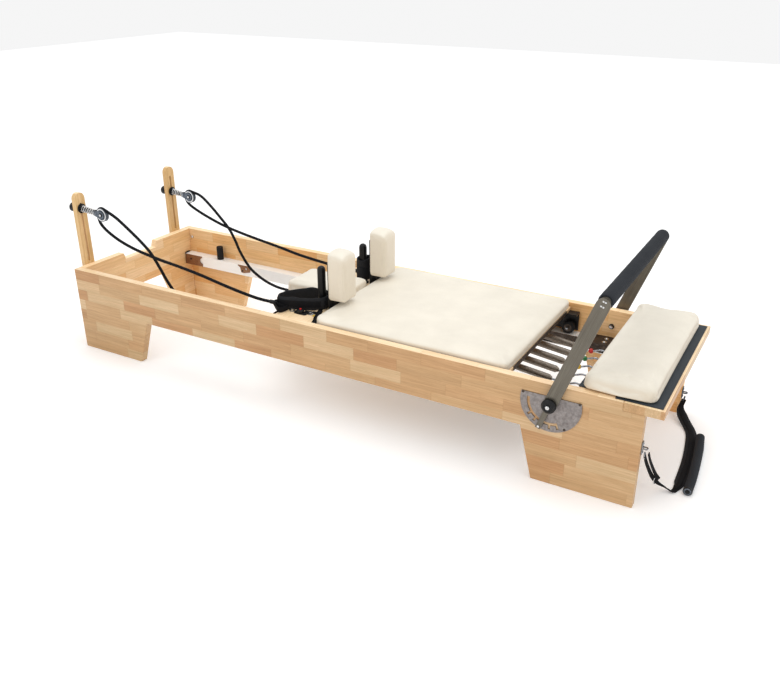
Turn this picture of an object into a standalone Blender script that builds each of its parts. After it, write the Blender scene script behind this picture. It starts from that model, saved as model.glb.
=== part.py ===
"""A pilates reformer: a long wooden bed frame with a sprung, upholstered carriage.

Metres, +Z up. X runs from the head end (the pulley risers) to the foot end (the footbar), Y from
the near side to the far side, and Z = 0 is the floor. The origin lies on the floor, under the
middle of the reformer's box with its ropes and foot strap left out.
"""

import math

import bmesh
import bpy
from mathutils import Matrix, Vector

# Driving dimensions
LENGTH = 2.400            # head end panel to the platform's foot edge
WIDTH = 0.690             # outside the side panels
HEIGHT = 0.350            # floor to the top edge of the frame
BOARD = 0.031             # thickness of the side and end panels
UNDERSIDE = 0.185         # floor to the lower edge of the frame between the legs
GAP = 0.0003              # clearance kept between touching pieces
KNOB_REACH = 0.054        # how far the riser knobs stand out past the head end
SIDES = {"near": -1, "far": 1}

# Places along the bed
HEAD = -(LENGTH - KNOB_REACH) / 2
FOOT = HEAD + LENGTH
LEG_END = FOOT - 0.054
PLATFORM_JOINT = FOOT - 0.119
TONGUE_EDGE = FOOT - 0.262
INNER_FACE = WIDTH / 2 - BOARD
SLAB = 0.027
RAIL_TOP = 0.240

# Carriage
CARRIAGE_HEAD = HEAD + 0.985
CARRIAGE_FOOT = HEAD + 1.908
MAT_HEAD = HEAD + 1.165
MAT_FOOT = HEAD + 1.905
CARRIAGE_HALF_WIDTH = 0.310
DECK_TOP = 0.3347
DECK = 0.012
MAT_BOTTOM = DECK_TOP + GAP
MAT_TOP = 0.373
WHEEL_RADIUS = 0.024
WHEEL_Y = 0.284
WHEEL_X = {"head": HEAD + 1.000, "foot": HEAD + 1.914}
PEG = (HEAD + 1.101, 0.147, 0.498)
PEG_RADIUS = 0.0155

# Footbar
PIVOT = (HEAD + 2.066, 0.288)
ARM_LENGTH = 0.3824
ARM_LEAN = math.radians(19.7)
ARM_Y = (0.3545, 0.3605)
ARM_HALF_WIDTH = 0.0215
BOLT_RADIUS = 0.005
BAR = (PIVOT[0] + ARM_LENGTH * math.sin(ARM_LEAN), PIVOT[1] + ARM_LENGTH * math.cos(ARM_LEAN))

# Risers and pulleys
RISER_Y = 0.260
RISER_TOP = 0.652
RISER_DEPTH = 0.020
RISER_HALF = 0.0255
CLAMP_Z = {"near": 0.587, "far": 0.539}
SHEAVE = {"near": (HEAD + 0.120, 0.577), "far": (HEAD + 0.110, 0.528)}
SHEAVE_RADIUS = 0.028
AXLE_RADIUS = 0.004
ROPE_RADIUS = 0.006
ROPE_TURN = 0.026         # radius of the rope's centreline round the sheave

# Springs
SPRING_Y = [0.14, 0.07, 0.0, -0.07, -0.14]
SPRING_COLOUR = ["red", "green", "yellow", "green", "red"]
SPRING_RADIUS = 0.0125
SPRING_FOOT = (HEAD + 2.000, 0.262)
SPRING_HEAD = (HEAD + 1.620, 0.3076)
SPRING_BAR = (HEAD + 2.118, 0.246)
SPRING_BAR_RADIUS = 0.006

MATERIALS = {
    "wood": ((0.72, 0.50, 0.28), 0.45, 0.0),
    "leatherette": ((0.87, 0.82, 0.72), 0.50, 0.0),
    "platform_mat": ((0.03, 0.04, 0.055), 0.70, 0.0),
    "foam": ((0.05, 0.055, 0.065), 0.85, 0.0),
    "arm_steel": ((0.40, 0.37, 0.33), 0.35, 1.0),
    "plate_steel": ((0.45, 0.43, 0.43), 0.45, 1.0),
    "rail_aluminium": ((0.80, 0.80, 0.80), 0.30, 1.0),
    "bracket_steel": ((0.16, 0.14, 0.13), 0.45, 0.8),
    "spring_steel": ((0.42, 0.39, 0.36), 0.30, 1.0),
    "bright_steel": ((0.80, 0.80, 0.80), 0.15, 1.0),
    "black_plastic": ((0.02, 0.02, 0.022), 0.40, 0.0),
    "black_rubber": ((0.02, 0.02, 0.02), 0.75, 0.0),
    "sheave_plastic": ((0.75, 0.77, 0.80), 0.25, 0.0),
    "webbing": ((0.018, 0.018, 0.02), 0.80, 0.0),
    "rope": ((0.015, 0.015, 0.018), 0.65, 0.0),
    "red": ((0.70, 0.03, 0.03), 0.35, 0.0),
    "green": ((0.03, 0.30, 0.08), 0.35, 0.0),
    "yellow": ((0.80, 0.60, 0.03), 0.35, 0.0),
}

for old in list(bpy.data.objects):
    bpy.data.objects.remove(old, do_unlink=True)

PARTS = bpy.data.collections.new("pilates_reformer")
CUTTERS = bpy.data.collections.new("cutters")
for collection in (PARTS, CUTTERS):
    bpy.context.scene.collection.children.link(collection)


# ---------------------------------------------------------------- helpers

def make_materials():
    """One Principled material for each finish."""
    made = {}
    for name, (colour, roughness, metallic) in MATERIALS.items():
        material = bpy.data.materials.new(name)
        material.use_nodes = True
        shader = material.node_tree.nodes["Principled BSDF"]
        shader.inputs["Base Color"].default_value = (*colour, 1.0)
        shader.inputs["Roughness"].default_value = roughness
        shader.inputs["Metallic"].default_value = metallic
        made[name] = material
    return made


FINISH = make_materials()


def add_object(name, mesh, finish, place=None):
    """Link a mesh object with one finish; place is its world matrix."""
    thing = bpy.data.objects.new(name, mesh)
    PARTS.objects.link(thing)
    mesh.materials.clear()
    mesh.materials.append(FINISH[finish])
    if place is not None:
        thing.matrix_world = place
    return thing


def soften(thing, width, segments=1):
    """Round every edge sharper than 30 degrees."""
    bevel = thing.modifiers.new("soft_edges", "BEVEL")
    bevel.width = width
    bevel.segments = segments
    bevel.limit_method = "ANGLE"
    bevel.angle_limit = math.radians(30)
    return thing


def smooth_shading(mesh):
    """Smooth the faces and keep the real edges sharp."""
    mesh.shade_smooth()
    mesh.set_sharp_from_angle(angle=math.radians(40))


def frozen(thing):
    """Replace a curve, or an object with modifiers, by its own closed mesh."""
    bpy.context.view_layer.update()
    graph = bpy.context.evaluated_depsgraph_get()
    mesh = bpy.data.meshes.new_from_object(thing.evaluated_get(graph))
    work = bmesh.new()
    work.from_mesh(mesh)
    bmesh.ops.remove_doubles(work, verts=work.verts, dist=0.00002)
    bmesh.ops.recalc_face_normals(work, faces=work.faces)
    work.to_mesh(mesh)
    work.free()
    name = thing.name
    place = thing.matrix_world.copy()
    finish = thing.data.materials[0].name
    bpy.data.objects.remove(thing, do_unlink=True)
    smooth_shading(mesh)
    return add_object(name, mesh, finish, place)


def combine(target, others, operation):
    """Add a Boolean for each of the other objects, which become hidden cutters."""
    for other in others:
        PARTS.objects.unlink(other)
        CUTTERS.objects.link(other)
        other.hide_render = True
        other.display_type = "WIRE"
        boolean = target.modifiers.new(operation.lower(), "BOOLEAN")
        boolean.operation = operation
        boolean.object = other
        boolean.solver = "EXACT"
    return target


def block(name, low, high, finish):
    """A box between two corners, with its origin at its centre."""
    low, high = Vector(low), Vector(high)
    work = bmesh.new()
    bmesh.ops.create_cube(work, size=1.0)
    bmesh.ops.scale(work, vec=high - low, verts=work.verts)
    mesh = bpy.data.meshes.new(name)
    work.to_mesh(mesh)
    work.free()
    return add_object(name, mesh, finish, Matrix.Translation((low + high) / 2))


def upright_xz(x, y, z):
    """A place whose local X, Y, Z are the world's X, Z, -Y: for plates that face the sides."""
    return Matrix.Translation((x, y, z)) @ Matrix.Rotation(math.radians(90), 4, "X")


def upright_yz(x, y, z):
    """A place whose local X, Y, Z are the world's Y, Z, X: for plates that face the ends."""
    turn = Matrix(((0, 0, 1, 0), (1, 0, 0, 0), (0, 1, 0, 0), (0, 0, 0, 1)))
    return Matrix.Translation((x, y, z)) @ turn


def plate(name, loops, thickness, place, finish, edge=0.0):
    """A flat outline, the first loop, with the other loops as holes; edge rounds its rim."""
    outline = bpy.data.curves.new(name, "CURVE")
    outline.dimensions = "2D"
    outline.fill_mode = "BOTH"
    outline.extrude = thickness / 2 - edge
    outline.bevel_depth = edge
    outline.bevel_resolution = 2
    outline.offset = -edge
    outline.render_resolution_u = 0
    for loop in loops:
        spline = outline.splines.new("POLY")
        spline.points.add(len(loop) - 1)
        for point, (x, y) in zip(spline.points, loop):
            point.co = (x, y, 0, 1)
        spline.use_cyclic_u = True
    thing = bpy.data.objects.new(name, outline)
    PARTS.objects.link(thing)
    outline.materials.append(FINISH[finish])
    thing.matrix_world = place
    return frozen(thing)


def arc(centre, radius, start, end, steps):
    """Points on an arc, angles in degrees."""
    points = []
    for step in range(steps + 1):
        angle = math.radians(start + (end - start) * step / steps)
        points.append((centre[0] + radius * math.cos(angle), centre[1] + radius * math.sin(angle)))
    return points


def rounded_rectangle(low, high, radii, steps=4):
    """A rectangle with its own corner radius at each corner, from low-low anticlockwise."""
    corners = [(low[0], low[1], 180), (high[0], low[1], 270), (high[0], high[1], 0), (low[0], high[1], 90)]
    points = []
    for (x, y, start), radius in zip(corners, radii):
        cx = x + radius if x == low[0] else x - radius
        cy = y + radius if y == low[1] else y - radius
        points += arc((cx, cy), radius, start, start + 90, steps)
    return points


def smooth_route(route, spacing):
    """Points about `spacing` apart on a Catmull-Rom curve through a route's points."""
    ends = [2 * Vector(route[0]) - Vector(route[1]), 2 * Vector(route[-1]) - Vector(route[-2])]
    knots = [ends[0]] + [Vector(p) for p in route] + [ends[1]]
    points = []
    for a, b, c, d in zip(knots, knots[1:], knots[2:], knots[3:]):
        steps = max(1, round((c - b).length / spacing))
        for step in range(steps):
            t = step / steps
            points.append(0.5 * (2 * b + (c - a) * t + (2 * a - 5 * b + 4 * c - d) * t ** 2
                                 + (3 * b - a - 3 * c + d) * t ** 3))
    return points + [knots[-2]]


def poly_curve(name, points, finish, cyclic=False):
    """An open or closed 3D polyline."""
    curve = bpy.data.curves.new(name, "CURVE")
    curve.dimensions = "3D"
    curve.render_resolution_u = 0
    spline = curve.splines.new("POLY")
    spline.points.add(len(points) - 1)
    for point, place in zip(spline.points, points):
        point.co = (*place, 1)
    spline.use_cyclic_u = cyclic
    thing = bpy.data.objects.new(name, curve)
    PARTS.objects.link(thing)
    curve.materials.append(FINISH[finish])
    return thing


def tube(name, points, radius, finish, resolution=2):
    """A round bar along a polyline, with closed ends."""
    thing = poly_curve(name, points, finish)
    thing.data.bevel_depth = radius
    thing.data.bevel_resolution = resolution
    thing.data.use_fill_caps = True
    return frozen(thing)


def band(name, points, height, thickness, finish, cyclic=False):
    """A strap that stands on its edge along a route."""
    thing = poly_curve(name, points, finish, cyclic)
    thing.data.twist_mode = "Z_UP"
    thing.data.extrude = height / 2
    thing = frozen(thing)
    solid = thing.modifiers.new("thickness", "SOLIDIFY")
    solid.thickness = thickness
    solid.offset = 0.0
    return frozen(thing)


def ribbon(name, points, width, thickness, finish):
    """A strap that lies flat along a route."""
    corners = []
    for before, point, after in zip(points[:1] + points, points, points[1:] + points[-1:]):
        across = (after - before).cross(Vector((0, 0, 1))).normalized() * width / 2
        corners += [point - across, point + across]
    faces = [(i, i + 1, i + 3, i + 2) for i in range(0, len(corners) - 2, 2)]
    mesh = bpy.data.meshes.new(name)
    mesh.from_pydata(corners, [], faces)
    thing = add_object(name, mesh, finish, Matrix())
    solid = thing.modifiers.new("thickness", "SOLIDIFY")
    solid.thickness = thickness
    solid.offset = 0.0
    return frozen(thing)


def turned(name, profile, place, finish, steps=24, closed=False):
    """A profile of (radius, height) turned round its local Z; closed joins its ends as a ring."""
    mesh = bpy.data.meshes.new(name)
    count = len(profile)
    edges = [(i, i + 1) for i in range(count - 1)]
    if closed:
        edges.append((count - 1, 0))
    mesh.from_pydata([(radius, 0, height) for radius, height in profile], edges, [])
    thing = add_object(name, mesh, finish, place)
    screw = thing.modifiers.new("turned", "SCREW")
    screw.axis = "Z"
    screw.steps = steps
    screw.render_steps = steps
    screw.use_merge_vertices = True
    screw.merge_threshold = 0.00001
    return frozen(thing)


def facing_y(x, y, z):
    """A place whose local Z points along the world's +Y."""
    return Matrix.Translation((x, y, z)) @ Matrix.Rotation(math.radians(-90), 4, "X")


def facing_x(x, y, z):
    """A place whose local Z points along the world's +X."""
    return Matrix.Translation((x, y, z)) @ Matrix.Rotation(math.radians(90), 4, "Y")


def rod(name, radius, length, place, finish, steps=16):
    """A plain cylinder from its local origin along local +Z, turned 5 degrees so that its edges
    never meet those of a coaxial piece that it is joined to."""
    turn = Matrix.Rotation(math.radians(5), 4, "Z")
    profile = [(0, 0), (radius, 0), (radius, length), (0, length)]
    return turned(name, profile, place @ turn, finish, steps)


def circle(radius, steps, centre=(0, 0)):
    """A full circle as a loop of points."""
    return arc(centre, radius, 0, 360 - 360 / steps, steps - 1)


# ---------------------------------------------------------------- frame

def side_panel(side, sign):
    """A side board with both its legs, notched for the platform and bored for the footbar's bolt."""
    seat = HEIGHT - SLAB - GAP
    outline = [
        (HEAD, 0), (HEAD + 0.320, 0), (HEAD + 0.380, UNDERSIDE), (HEAD + 1.972, UNDERSIDE),
        (HEAD + 2.020, 0), (LEG_END, 0), (LEG_END, seat), (PLATFORM_JOINT - GAP, seat),
        (PLATFORM_JOINT - GAP, HEIGHT), (HEAD, HEIGHT),
    ]
    middle = sign * (WIDTH - BOARD) / 2
    bore = circle(BOLT_RADIUS + 0.0008, 16, PIVOT)
    panel = plate(f"{side}_side_panel", [outline, bore], BOARD, upright_xz(0, middle, 0), "wood")
    return soften(panel, 0.0012)


def head_end_panel():
    """The end board between the side panels, arched below and dipped along its top edge."""
    half = INNER_FACE - GAP
    dip = HEIGHT - 0.028
    outline = [
        (-half, 0), (-0.195, 0), (-0.126, UNDERSIDE), (0.126, UNDERSIDE), (0.195, 0), (half, 0),
        (half, HEIGHT), (0.100, HEIGHT), (0.090, dip), (-0.090, dip), (-0.100, HEIGHT),
        (-half, HEIGHT),
    ]
    panel = plate("head_end_panel", [outline], BOARD, upright_yz(HEAD + BOARD / 2, 0, 0), "wood")
    return soften(panel, 0.0012)


def platform_outline(joint, foot, half_wide, tongue, half_narrow):
    """A T seen from above: wide over the side panels, narrow between them."""
    return [
        (tongue, -half_narrow), (joint, -half_narrow), (joint, -half_wide), (foot, -half_wide),
        (foot, half_wide), (joint, half_wide), (joint, half_narrow), (tongue, half_narrow),
    ]


def platform():
    """The fixed wooden platform at the foot end, its thin mat and its lift-off pad."""
    slab = plate(
        "foot_platform",
        [platform_outline(PLATFORM_JOINT, FOOT, WIDTH / 2, TONGUE_EDGE, INNER_FACE - GAP)],
        SLAB, Matrix.Translation((0, 0, HEIGHT - SLAB / 2)), "wood")
    soften(slab, 0.0012)
    sheet = 0.002
    plate(
        "platform_mat",
        [platform_outline(FOOT - 0.148, FOOT - 0.009, 0.333, TONGUE_EDGE - 0.002, 0.312)],
        sheet, Matrix.Translation((0, 0, HEIGHT + GAP + sheet / 2)), "platform_mat")
    bottom = HEIGHT + sheet + 2 * GAP
    top = 0.410
    pad = rounded_rectangle((FOOT - 0.252, -0.328), (FOOT - 0.033, 0.328), [0.028] * 4, 5)
    plate("platform_pad", [pad], top - bottom, Matrix.Translation((0, 0, (top + bottom) / 2)),
          "leatherette", edge=0.018)


def rail(side, sign):
    """An aluminium angle along the inside of a side panel, which the carriage wheels run on."""
    outer = sign * (INNER_FACE - GAP)
    inner = sign * 0.270
    web = sign * 0.273
    outline = [
        (inner, 0.190), (web, 0.190), (web, RAIL_TOP - 0.004), (outer, RAIL_TOP - 0.004),
        (outer, RAIL_TOP), (inner, RAIL_TOP),
    ]
    start, end = HEAD + 0.034, HEAD + 2.150
    plate(f"{side}_rail", [outline], end - start, upright_yz((start + end) / 2, 0, 0),
          "rail_aluminium")


def stopper(side, sign):
    """A rubber post on the rail that ends the carriage's travel."""
    radius, top = 0.015, 0.301
    height = top - RAIL_TOP - GAP
    profile = [(0, 0), (radius, 0), (radius, height - 0.002), (radius - 0.002, height), (0, height)]
    turned(f"{side}_stopper", profile, Matrix.Translation((HEAD + 0.235, sign * 0.287, RAIL_TOP + GAP)),
           "black_rubber", 16)


def riser(side, sign):
    """A round-topped plank on the head end, slotted so that the pulley can be raised."""
    half = RISER_HALF
    y = sign * RISER_Y
    outline = [(y - half, 0.190), (y + half, 0.190)]
    outline += arc((y, RISER_TOP - half), half, 0, 180, 12)
    slot = arc((y, 0.605), 0.0045, 0, 180, 4) + arc((y, 0.362), 0.0045, 180, 360, 4)
    place = upright_yz(HEAD - GAP - RISER_DEPTH / 2, 0, 0)
    post = plate(f"{side}_riser", [outline, slot], RISER_DEPTH, place, "wood")
    soften(post, 0.002)


def spring_bar():
    """The cross bar that the springs hook over, with a plate on each rail."""
    reach = 0.250
    bar = rod("spring_bar", SPRING_BAR_RADIUS, 2 * reach,
              facing_y(SPRING_BAR[0], -reach, SPRING_BAR[1]), "bracket_steel")
    ends = []
    for side, sign in SIDES.items():
        inner, outer = sorted((sign * 0.240, sign * (INNER_FACE - GAP)))
        ends.append(block(f"{side}_bar_plate", (HEAD + 1.975, inner, RAIL_TOP + GAP),
                          (HEAD + 2.150, outer, RAIL_TOP + 0.005), "bracket_steel"))
    combine(bar, ends, "UNION")


def quadrant(side, sign):
    """A round plate, cut straight above the pivot, with the notched slot that locks the footbar."""
    radius, flat = 0.098, PIVOT[1] + 0.023
    inner, outer, notch = 0.067, 0.0765, 0.0885
    half_notch = 2.6
    top_angle = math.degrees(math.asin((flat - PIVOT[1]) / radius))
    outline = arc(PIVOT, radius, 180 - top_angle, 360 + top_angle, 32)
    slot = []
    last = 174.0
    for angle in (217.0, 235.0, 253.0, 271.0, 289.0):
        slot += arc(PIVOT, outer, last, angle - half_notch, 3)
        slot += arc(PIVOT, notch, angle - half_notch, angle + half_notch, 1)
        last = angle + half_notch
    slot += arc(PIVOT, inner, last, 174.0, 12)
    bore = circle(BOLT_RADIUS + 0.0008, 16, PIVOT)
    thickness = 0.003
    middle = sign * (WIDTH / 2 + GAP + thickness / 2)
    plate(f"{side}_quadrant", [outline, slot, bore], thickness, upright_xz(0, middle, 0),
          "plate_steel")


def strap_clip(side, sign, z):
    """A steel plate with a staple on a leg's end, which holds the foot strap."""
    y = sign * (INNER_FACE + 0.008)
    clip = block(f"{side}_strap_clip", (LEG_END + GAP, y - 0.009, z - 0.022),
                 (LEG_END + 0.0035, y + 0.009, z + 0.022), "bright_steel")
    out = LEG_END + 0.016
    back = LEG_END + 0.002
    loop = [(back, y - 0.006, z), (out - 0.003, y - 0.006, z), (out, y - 0.003, z),
            (out, y + 0.003, z), (out - 0.003, y + 0.006, z), (back, y + 0.006, z)]
    combine(clip, [tube(f"{side}_staple", loop, 0.0022, "bright_steel")], "UNION")


# ---------------------------------------------------------------- carriage

def carriage():
    """The sliding deck, its mat, wheels, pegs and rope end blocks."""
    half = CARRIAGE_HALF_WIDTH
    deck = block("carriage_deck", (CARRIAGE_HEAD, -half, DECK_TOP - DECK),
                 (CARRIAGE_FOOT, half, DECK_TOP), "wood")
    batten = block("spring_batten", (SPRING_HEAD[0] - 0.026, -0.200, 0.286),
                   (SPRING_HEAD[0] - 0.001, 0.200, DECK_TOP - DECK / 2), "wood")
    combine(deck, [batten], "UNION")
    corners = [0.048, 0.020, 0.020, 0.048]
    mat = rounded_rectangle((MAT_HEAD, -half), (MAT_FOOT, half), corners, 5)
    plate("carriage_mat", [mat], MAT_TOP - MAT_BOTTOM,
          Matrix.Translation((0, 0, (MAT_TOP + MAT_BOTTOM) / 2)), "leatherette", edge=0.013)
    for side, sign in SIDES.items():
        wheel_beam(side, sign)
        for end, x in WHEEL_X.items():
            wheel(f"{side}_{end}_wheel", x, sign)
        peg(side, sign)


def wheel_beam(side, sign):
    """A steel angle under the deck, with the stub axles of two wheels."""
    inner, web, outer = sign * 0.268, sign * 0.300, sign * 0.308
    top = DECK_TOP - DECK - GAP
    outline = [(inner, top), (inner, top - 0.006), (web, top - 0.006), (web, 0.250),
               (outer, 0.250), (outer, top)]
    start, end = HEAD + 0.985, HEAD + 1.945
    beam = plate(f"{side}_wheel_beam", [outline], end - start,
                 upright_yz((start + end) / 2, 0, 0), "black_plastic")
    axles = []
    for x in WHEEL_X.values():
        ends = sorted((sign * 0.268, sign * 0.304))
        axles.append(rod("stub_axle", AXLE_RADIUS, ends[1] - ends[0],
                         facing_y(x, ends[0], RAIL_TOP + GAP + WHEEL_RADIUS), "black_plastic", 12))
    combine(beam, axles, "UNION")


def wheel(name, x, sign):
    """A plain roller with a bore for its stub axle."""
    half, bore, chamfer = 0.011, AXLE_RADIUS + 0.0004, 0.002
    profile = [(bore, half), (WHEEL_RADIUS - chamfer, half), (WHEEL_RADIUS, half - chamfer),
               (WHEEL_RADIUS, chamfer - half), (WHEEL_RADIUS - chamfer, -half), (bore, -half)]
    turned(name, profile, facing_y(x, sign * WHEEL_Y, RAIL_TOP + GAP + WHEEL_RADIUS),
           "black_rubber", 16, closed=True)


def peg(side, sign):
    """A round-topped upright peg that the hand strap hangs on."""
    x, y, top = PEG
    height = top - DECK_TOP - GAP
    dome = arc((0, height - PEG_RADIUS), PEG_RADIUS, 0, 90, 4)
    profile = [(0, 0), (PEG_RADIUS, 0)] + dome[:-1] + [(0, height)]
    turned(f"{side}_peg", profile, Matrix.Translation((x, sign * y, DECK_TOP + GAP)),
           "black_plastic", 16)


def shoulder_rest(side, sign):
    """An upright pad on a black angle bracket, at the mat's head edge."""
    y, half = sign * 0.147, 0.036
    back, front = HEAD + 1.1515, HEAD + 1.157
    foot = DECK_TOP + GAP
    outline = [(back, foot), (MAT_HEAD - 0.001, foot), (MAT_HEAD - 0.001, foot + 0.005),
               (front, foot + 0.005), (front, 0.530), (back, 0.530)]
    plate(f"{side}_shoulder_bracket", [outline], 2 * half, upright_xz(0, y, 0), "black_plastic")
    low, high = (y - 0.0475, 0.385), (y + 0.0475, 0.572)
    pad = rounded_rectangle(low, high, [0.020, 0.020, 0.030, 0.030], 5)
    start, end = front + GAP, HEAD + 1.228
    plate(f"{side}_shoulder_pad", [pad], end - start, upright_yz((start + end) / 2, 0, 0),
          "leatherette", edge=0.012)


def headrest():
    """The upholstered headrest in front of the mat, between the shoulder rests."""
    half, top = 0.092, 0.385
    outline = rounded_rectangle((HEAD + 0.887, -half), (HEAD + 1.160, half),
                                [0.024, 0.012, 0.012, 0.024], 5)
    plate("headrest", [outline], top - MAT_BOTTOM,
          Matrix.Translation((0, 0, (top + MAT_BOTTOM) / 2)), "leatherette", edge=0.012)


def hand_straps():
    """The two webbing hand loops: one laid out in front of its peg, one gathered round its peg."""
    near_plan = [(1.128, -0.146), (1.126, -0.170), (1.100, -0.190), (1.052, -0.212), (1.003, -0.231),
                 (0.968, -0.234), (0.956, -0.214), (0.966, -0.180), (1.000, -0.142), (1.042, -0.114),
                 (1.084, -0.106), (1.117, -0.120)]
    height = 0.048
    middle = DECK_TOP + 0.001 + height / 2
    route = [(HEAD + x, y, middle) for x, y in near_plan]
    points = smooth_route(route + route[:1], 0.016)[:-1]
    band("near_hand_strap", points, height, 0.005, "webbing", cyclic=True)
    height = 0.085
    ring = arc((HEAD + 1.100, 0.163), 1.0, 0, 345, 23)
    middle = 0.353 + height / 2
    points = []
    for x, y in ring:
        points.append((HEAD + 1.100 + 0.0245 * (x - HEAD - 1.100), 0.163 + 0.043 * (y - 0.163), middle))
    band("far_hand_strap", points, height, 0.005, "webbing", cyclic=True)


# ---------------------------------------------------------------- springs

def springs():
    """Five springs under the deck, as plain round bars, each with its own hook and ball."""
    drop = SPRING_HEAD[1] - SPRING_FOOT[1]
    run = SPRING_FOOT[0] - SPRING_HEAD[0]
    length = math.hypot(run, drop)
    slope = math.atan2(drop, run)
    for number, (y, colour) in enumerate(zip(SPRING_Y, SPRING_COLOUR), 1):
        start = Matrix.Translation((SPRING_HEAD[0], y, SPRING_HEAD[1]))
        place = start @ Matrix.Rotation(math.radians(90) + slope, 4, "Y")
        narrow = 0.35 * SPRING_RADIUS
        profile = [(0, 0), (narrow, 0), (SPRING_RADIUS, 0.018), (SPRING_RADIUS, length - 0.018),
                   (narrow, length), (0, length)]
        turned(f"spring_{number}", profile, place, "spring_steel", 16)
        spring_hook(number, y, colour)


def spring_hook(number, y, colour):
    """A wire hook from the spring's foot end over the spring bar, with a coloured ball."""
    wire, turn = 0.0028, 0.0105
    ball = (HEAD + 2.045, 0.2558)
    route = [(SPRING_FOOT[0] + 0.0008, SPRING_FOOT[1] - 0.0001), (HEAD + 2.022, 0.2590), ball,
             (HEAD + 2.075, 0.2535), (HEAD + 2.095, 0.2550)]
    route += arc(SPRING_BAR, turn, 145, -50, 5)
    points = [(x, y, z) for x, z in route]
    hook = tube(f"spring_hook_{number}", points, wire, colour)
    radius = 0.0095
    profile = arc((0, 0), radius, -90, 90, 6)
    profile[0], profile[-1] = (0, -radius), (0, radius)
    sphere = turned("ball", profile, Matrix.Translation((ball[0], y, ball[1])), colour, 10)
    combine(hook, [sphere], "UNION")


# ---------------------------------------------------------------- footbar

def footbar():
    """Two flat arms on the pivot bolts, joined by a tube in a foam grip."""
    lean = Matrix.Rotation(-ARM_LEAN, 4, "Z")
    for side, sign in SIDES.items():
        top = ARM_LENGTH - 0.007
        outline = [(-0.0085, -0.094), (0.0085, -0.094), (0.0085, -0.024), (ARM_HALF_WIDTH, -0.012)]
        outline += arc((0, top), ARM_HALF_WIDTH, 0, 180, 8)
        outline += [(-ARM_HALF_WIDTH, -0.012), (-0.0085, -0.024)]
        bore = circle(BOLT_RADIUS + 0.0008, 16)
        thickness = ARM_Y[1] - ARM_Y[0]
        place = upright_xz(PIVOT[0], sign * (ARM_Y[0] + ARM_Y[1]) / 2, PIVOT[1]) @ lean
        plate(f"{side}_arm", [outline, bore], thickness, place, "arm_steel")
        pivot_knob(side, sign)
    inner, outer = 0.0130, 0.0160
    reach = ARM_Y[0] - GAP
    turned("footbar_tube", [(inner, reach), (outer, reach), (outer, -reach), (inner, -reach)],
           facing_y(BAR[0], 0, BAR[1]), "arm_steel", 20, closed=True)
    foam, wall, reach = 0.0235, outer + 0.0004, 0.346
    profile = [(wall, reach), (foam - 0.004, reach), (foam, reach - 0.005),
               (foam, 0.005 - reach), (foam - 0.004, -reach), (wall, -reach)]
    turned("footbar_grip", profile, facing_y(BAR[0], 0, BAR[1]), "foam", 28, closed=True)


def pivot_knob(side, sign):
    """A round knob outside the arm on the pivot bolt, whose head shows inside the panel."""
    knob, head = 0.0235, 0.010
    inside = INNER_FACE - 0.0006
    outside = ARM_Y[1] + GAP
    profile = [(0, outside + 0.014), (knob - 0.006, outside + 0.014), (knob, outside + 0.009),
               (knob, outside + 0.002), (knob - 0.002, outside), (BOLT_RADIUS, outside),
               (BOLT_RADIUS, inside), (head, inside), (head, inside - 0.004),
               (head - 0.003, inside - 0.006), (0, inside - 0.006)]
    place = Matrix.Translation((PIVOT[0], 0, PIVOT[1])) @ Matrix.Rotation(math.radians(-90 * sign), 4, "X")
    turned(f"{side}_pivot_knob", profile, place, "black_plastic", 20)


# ---------------------------------------------------------------- pulleys

def pulley(side, sign):
    """A clamp rod through the riser's slot, a damping spring and a fork with its sheave."""
    y, z = sign * RISER_Y, CLAMP_Z[side]
    sheave_x, sheave_z = SHEAVE[side]
    tilt = math.atan2(z - sheave_z, sheave_x - HEAD)
    reach = math.hypot(sheave_x - HEAD, z - sheave_z)
    along = Matrix.Translation((HEAD, y, z)) @ Matrix.Rotation(tilt, 4, "Y")
    rod_start = RISER_DEPTH + 0.024
    body = rod(f"{side}_pulley_block", 0.0035, rod_start + 0.012, facing_x(HEAD - rod_start, y, z),
               "bracket_steel", 12)
    washer = turned("washer", [(0, 0), (0.0195, 0), (0.0195, 0.005), (0.0165, 0.007), (0, 0.007)],
                    facing_x(HEAD + GAP, y, z), "bracket_steel", 20)
    lie_down = Matrix.Rotation(math.radians(90), 4, "Y")
    damper = turned("damper", [(0, 0), (0.0125, 0), (0.0105, reach - 0.044), (0, reach - 0.044)],
                    along @ Matrix.Translation((0.004, 0, 0)) @ lie_down, "bracket_steel", 14)
    yoke = block("yoke", (-0.006, -0.0112, -0.0105), (0.006, 0.0112, 0.0105), "bracket_steel")
    yoke.matrix_world = along @ Matrix.Translation((reach - 0.040, 0, 0))
    cheeks = []
    outline = arc((0, 0), 0.0175, -105, 105, 12) + [(-0.044, 0.0105), (-0.044, -0.0105)]
    for face in (-1, 1):
        place = along @ Matrix.Translation((reach, face * 0.0098, 0)) @ upright_xz(0, 0, 0)
        cheeks.append(plate("cheek", [outline], 0.002, place, "bracket_steel"))
    pin = rod("sheave_pin", AXLE_RADIUS, 0.0230, facing_y(sheave_x, y - 0.0115, sheave_z),
              "bracket_steel", 12)
    combine(body, [washer, damper, yoke, *cheeks, pin], "UNION")
    sheave(side, y)
    riser_knob(side, y, z)


def sheave(side, y):
    """A grooved wheel that the rope runs round."""
    x, z = SHEAVE[side]
    half, bore = 0.0083, AXLE_RADIUS + 0.0004
    groove = ROPE_RADIUS + 0.0009
    open_angle = math.degrees(math.acos((SHEAVE_RADIUS - ROPE_TURN) / groove))
    profile = [(bore, half), (SHEAVE_RADIUS, half)]
    profile += arc((ROPE_TURN, 0), groove, open_angle, 360 - open_angle, 6)
    profile += [(SHEAVE_RADIUS, -half), (bore, -half)]
    turned(f"{side}_sheave", profile, facing_y(x, y, z), "sheave_plastic", 20, closed=True)


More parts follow.
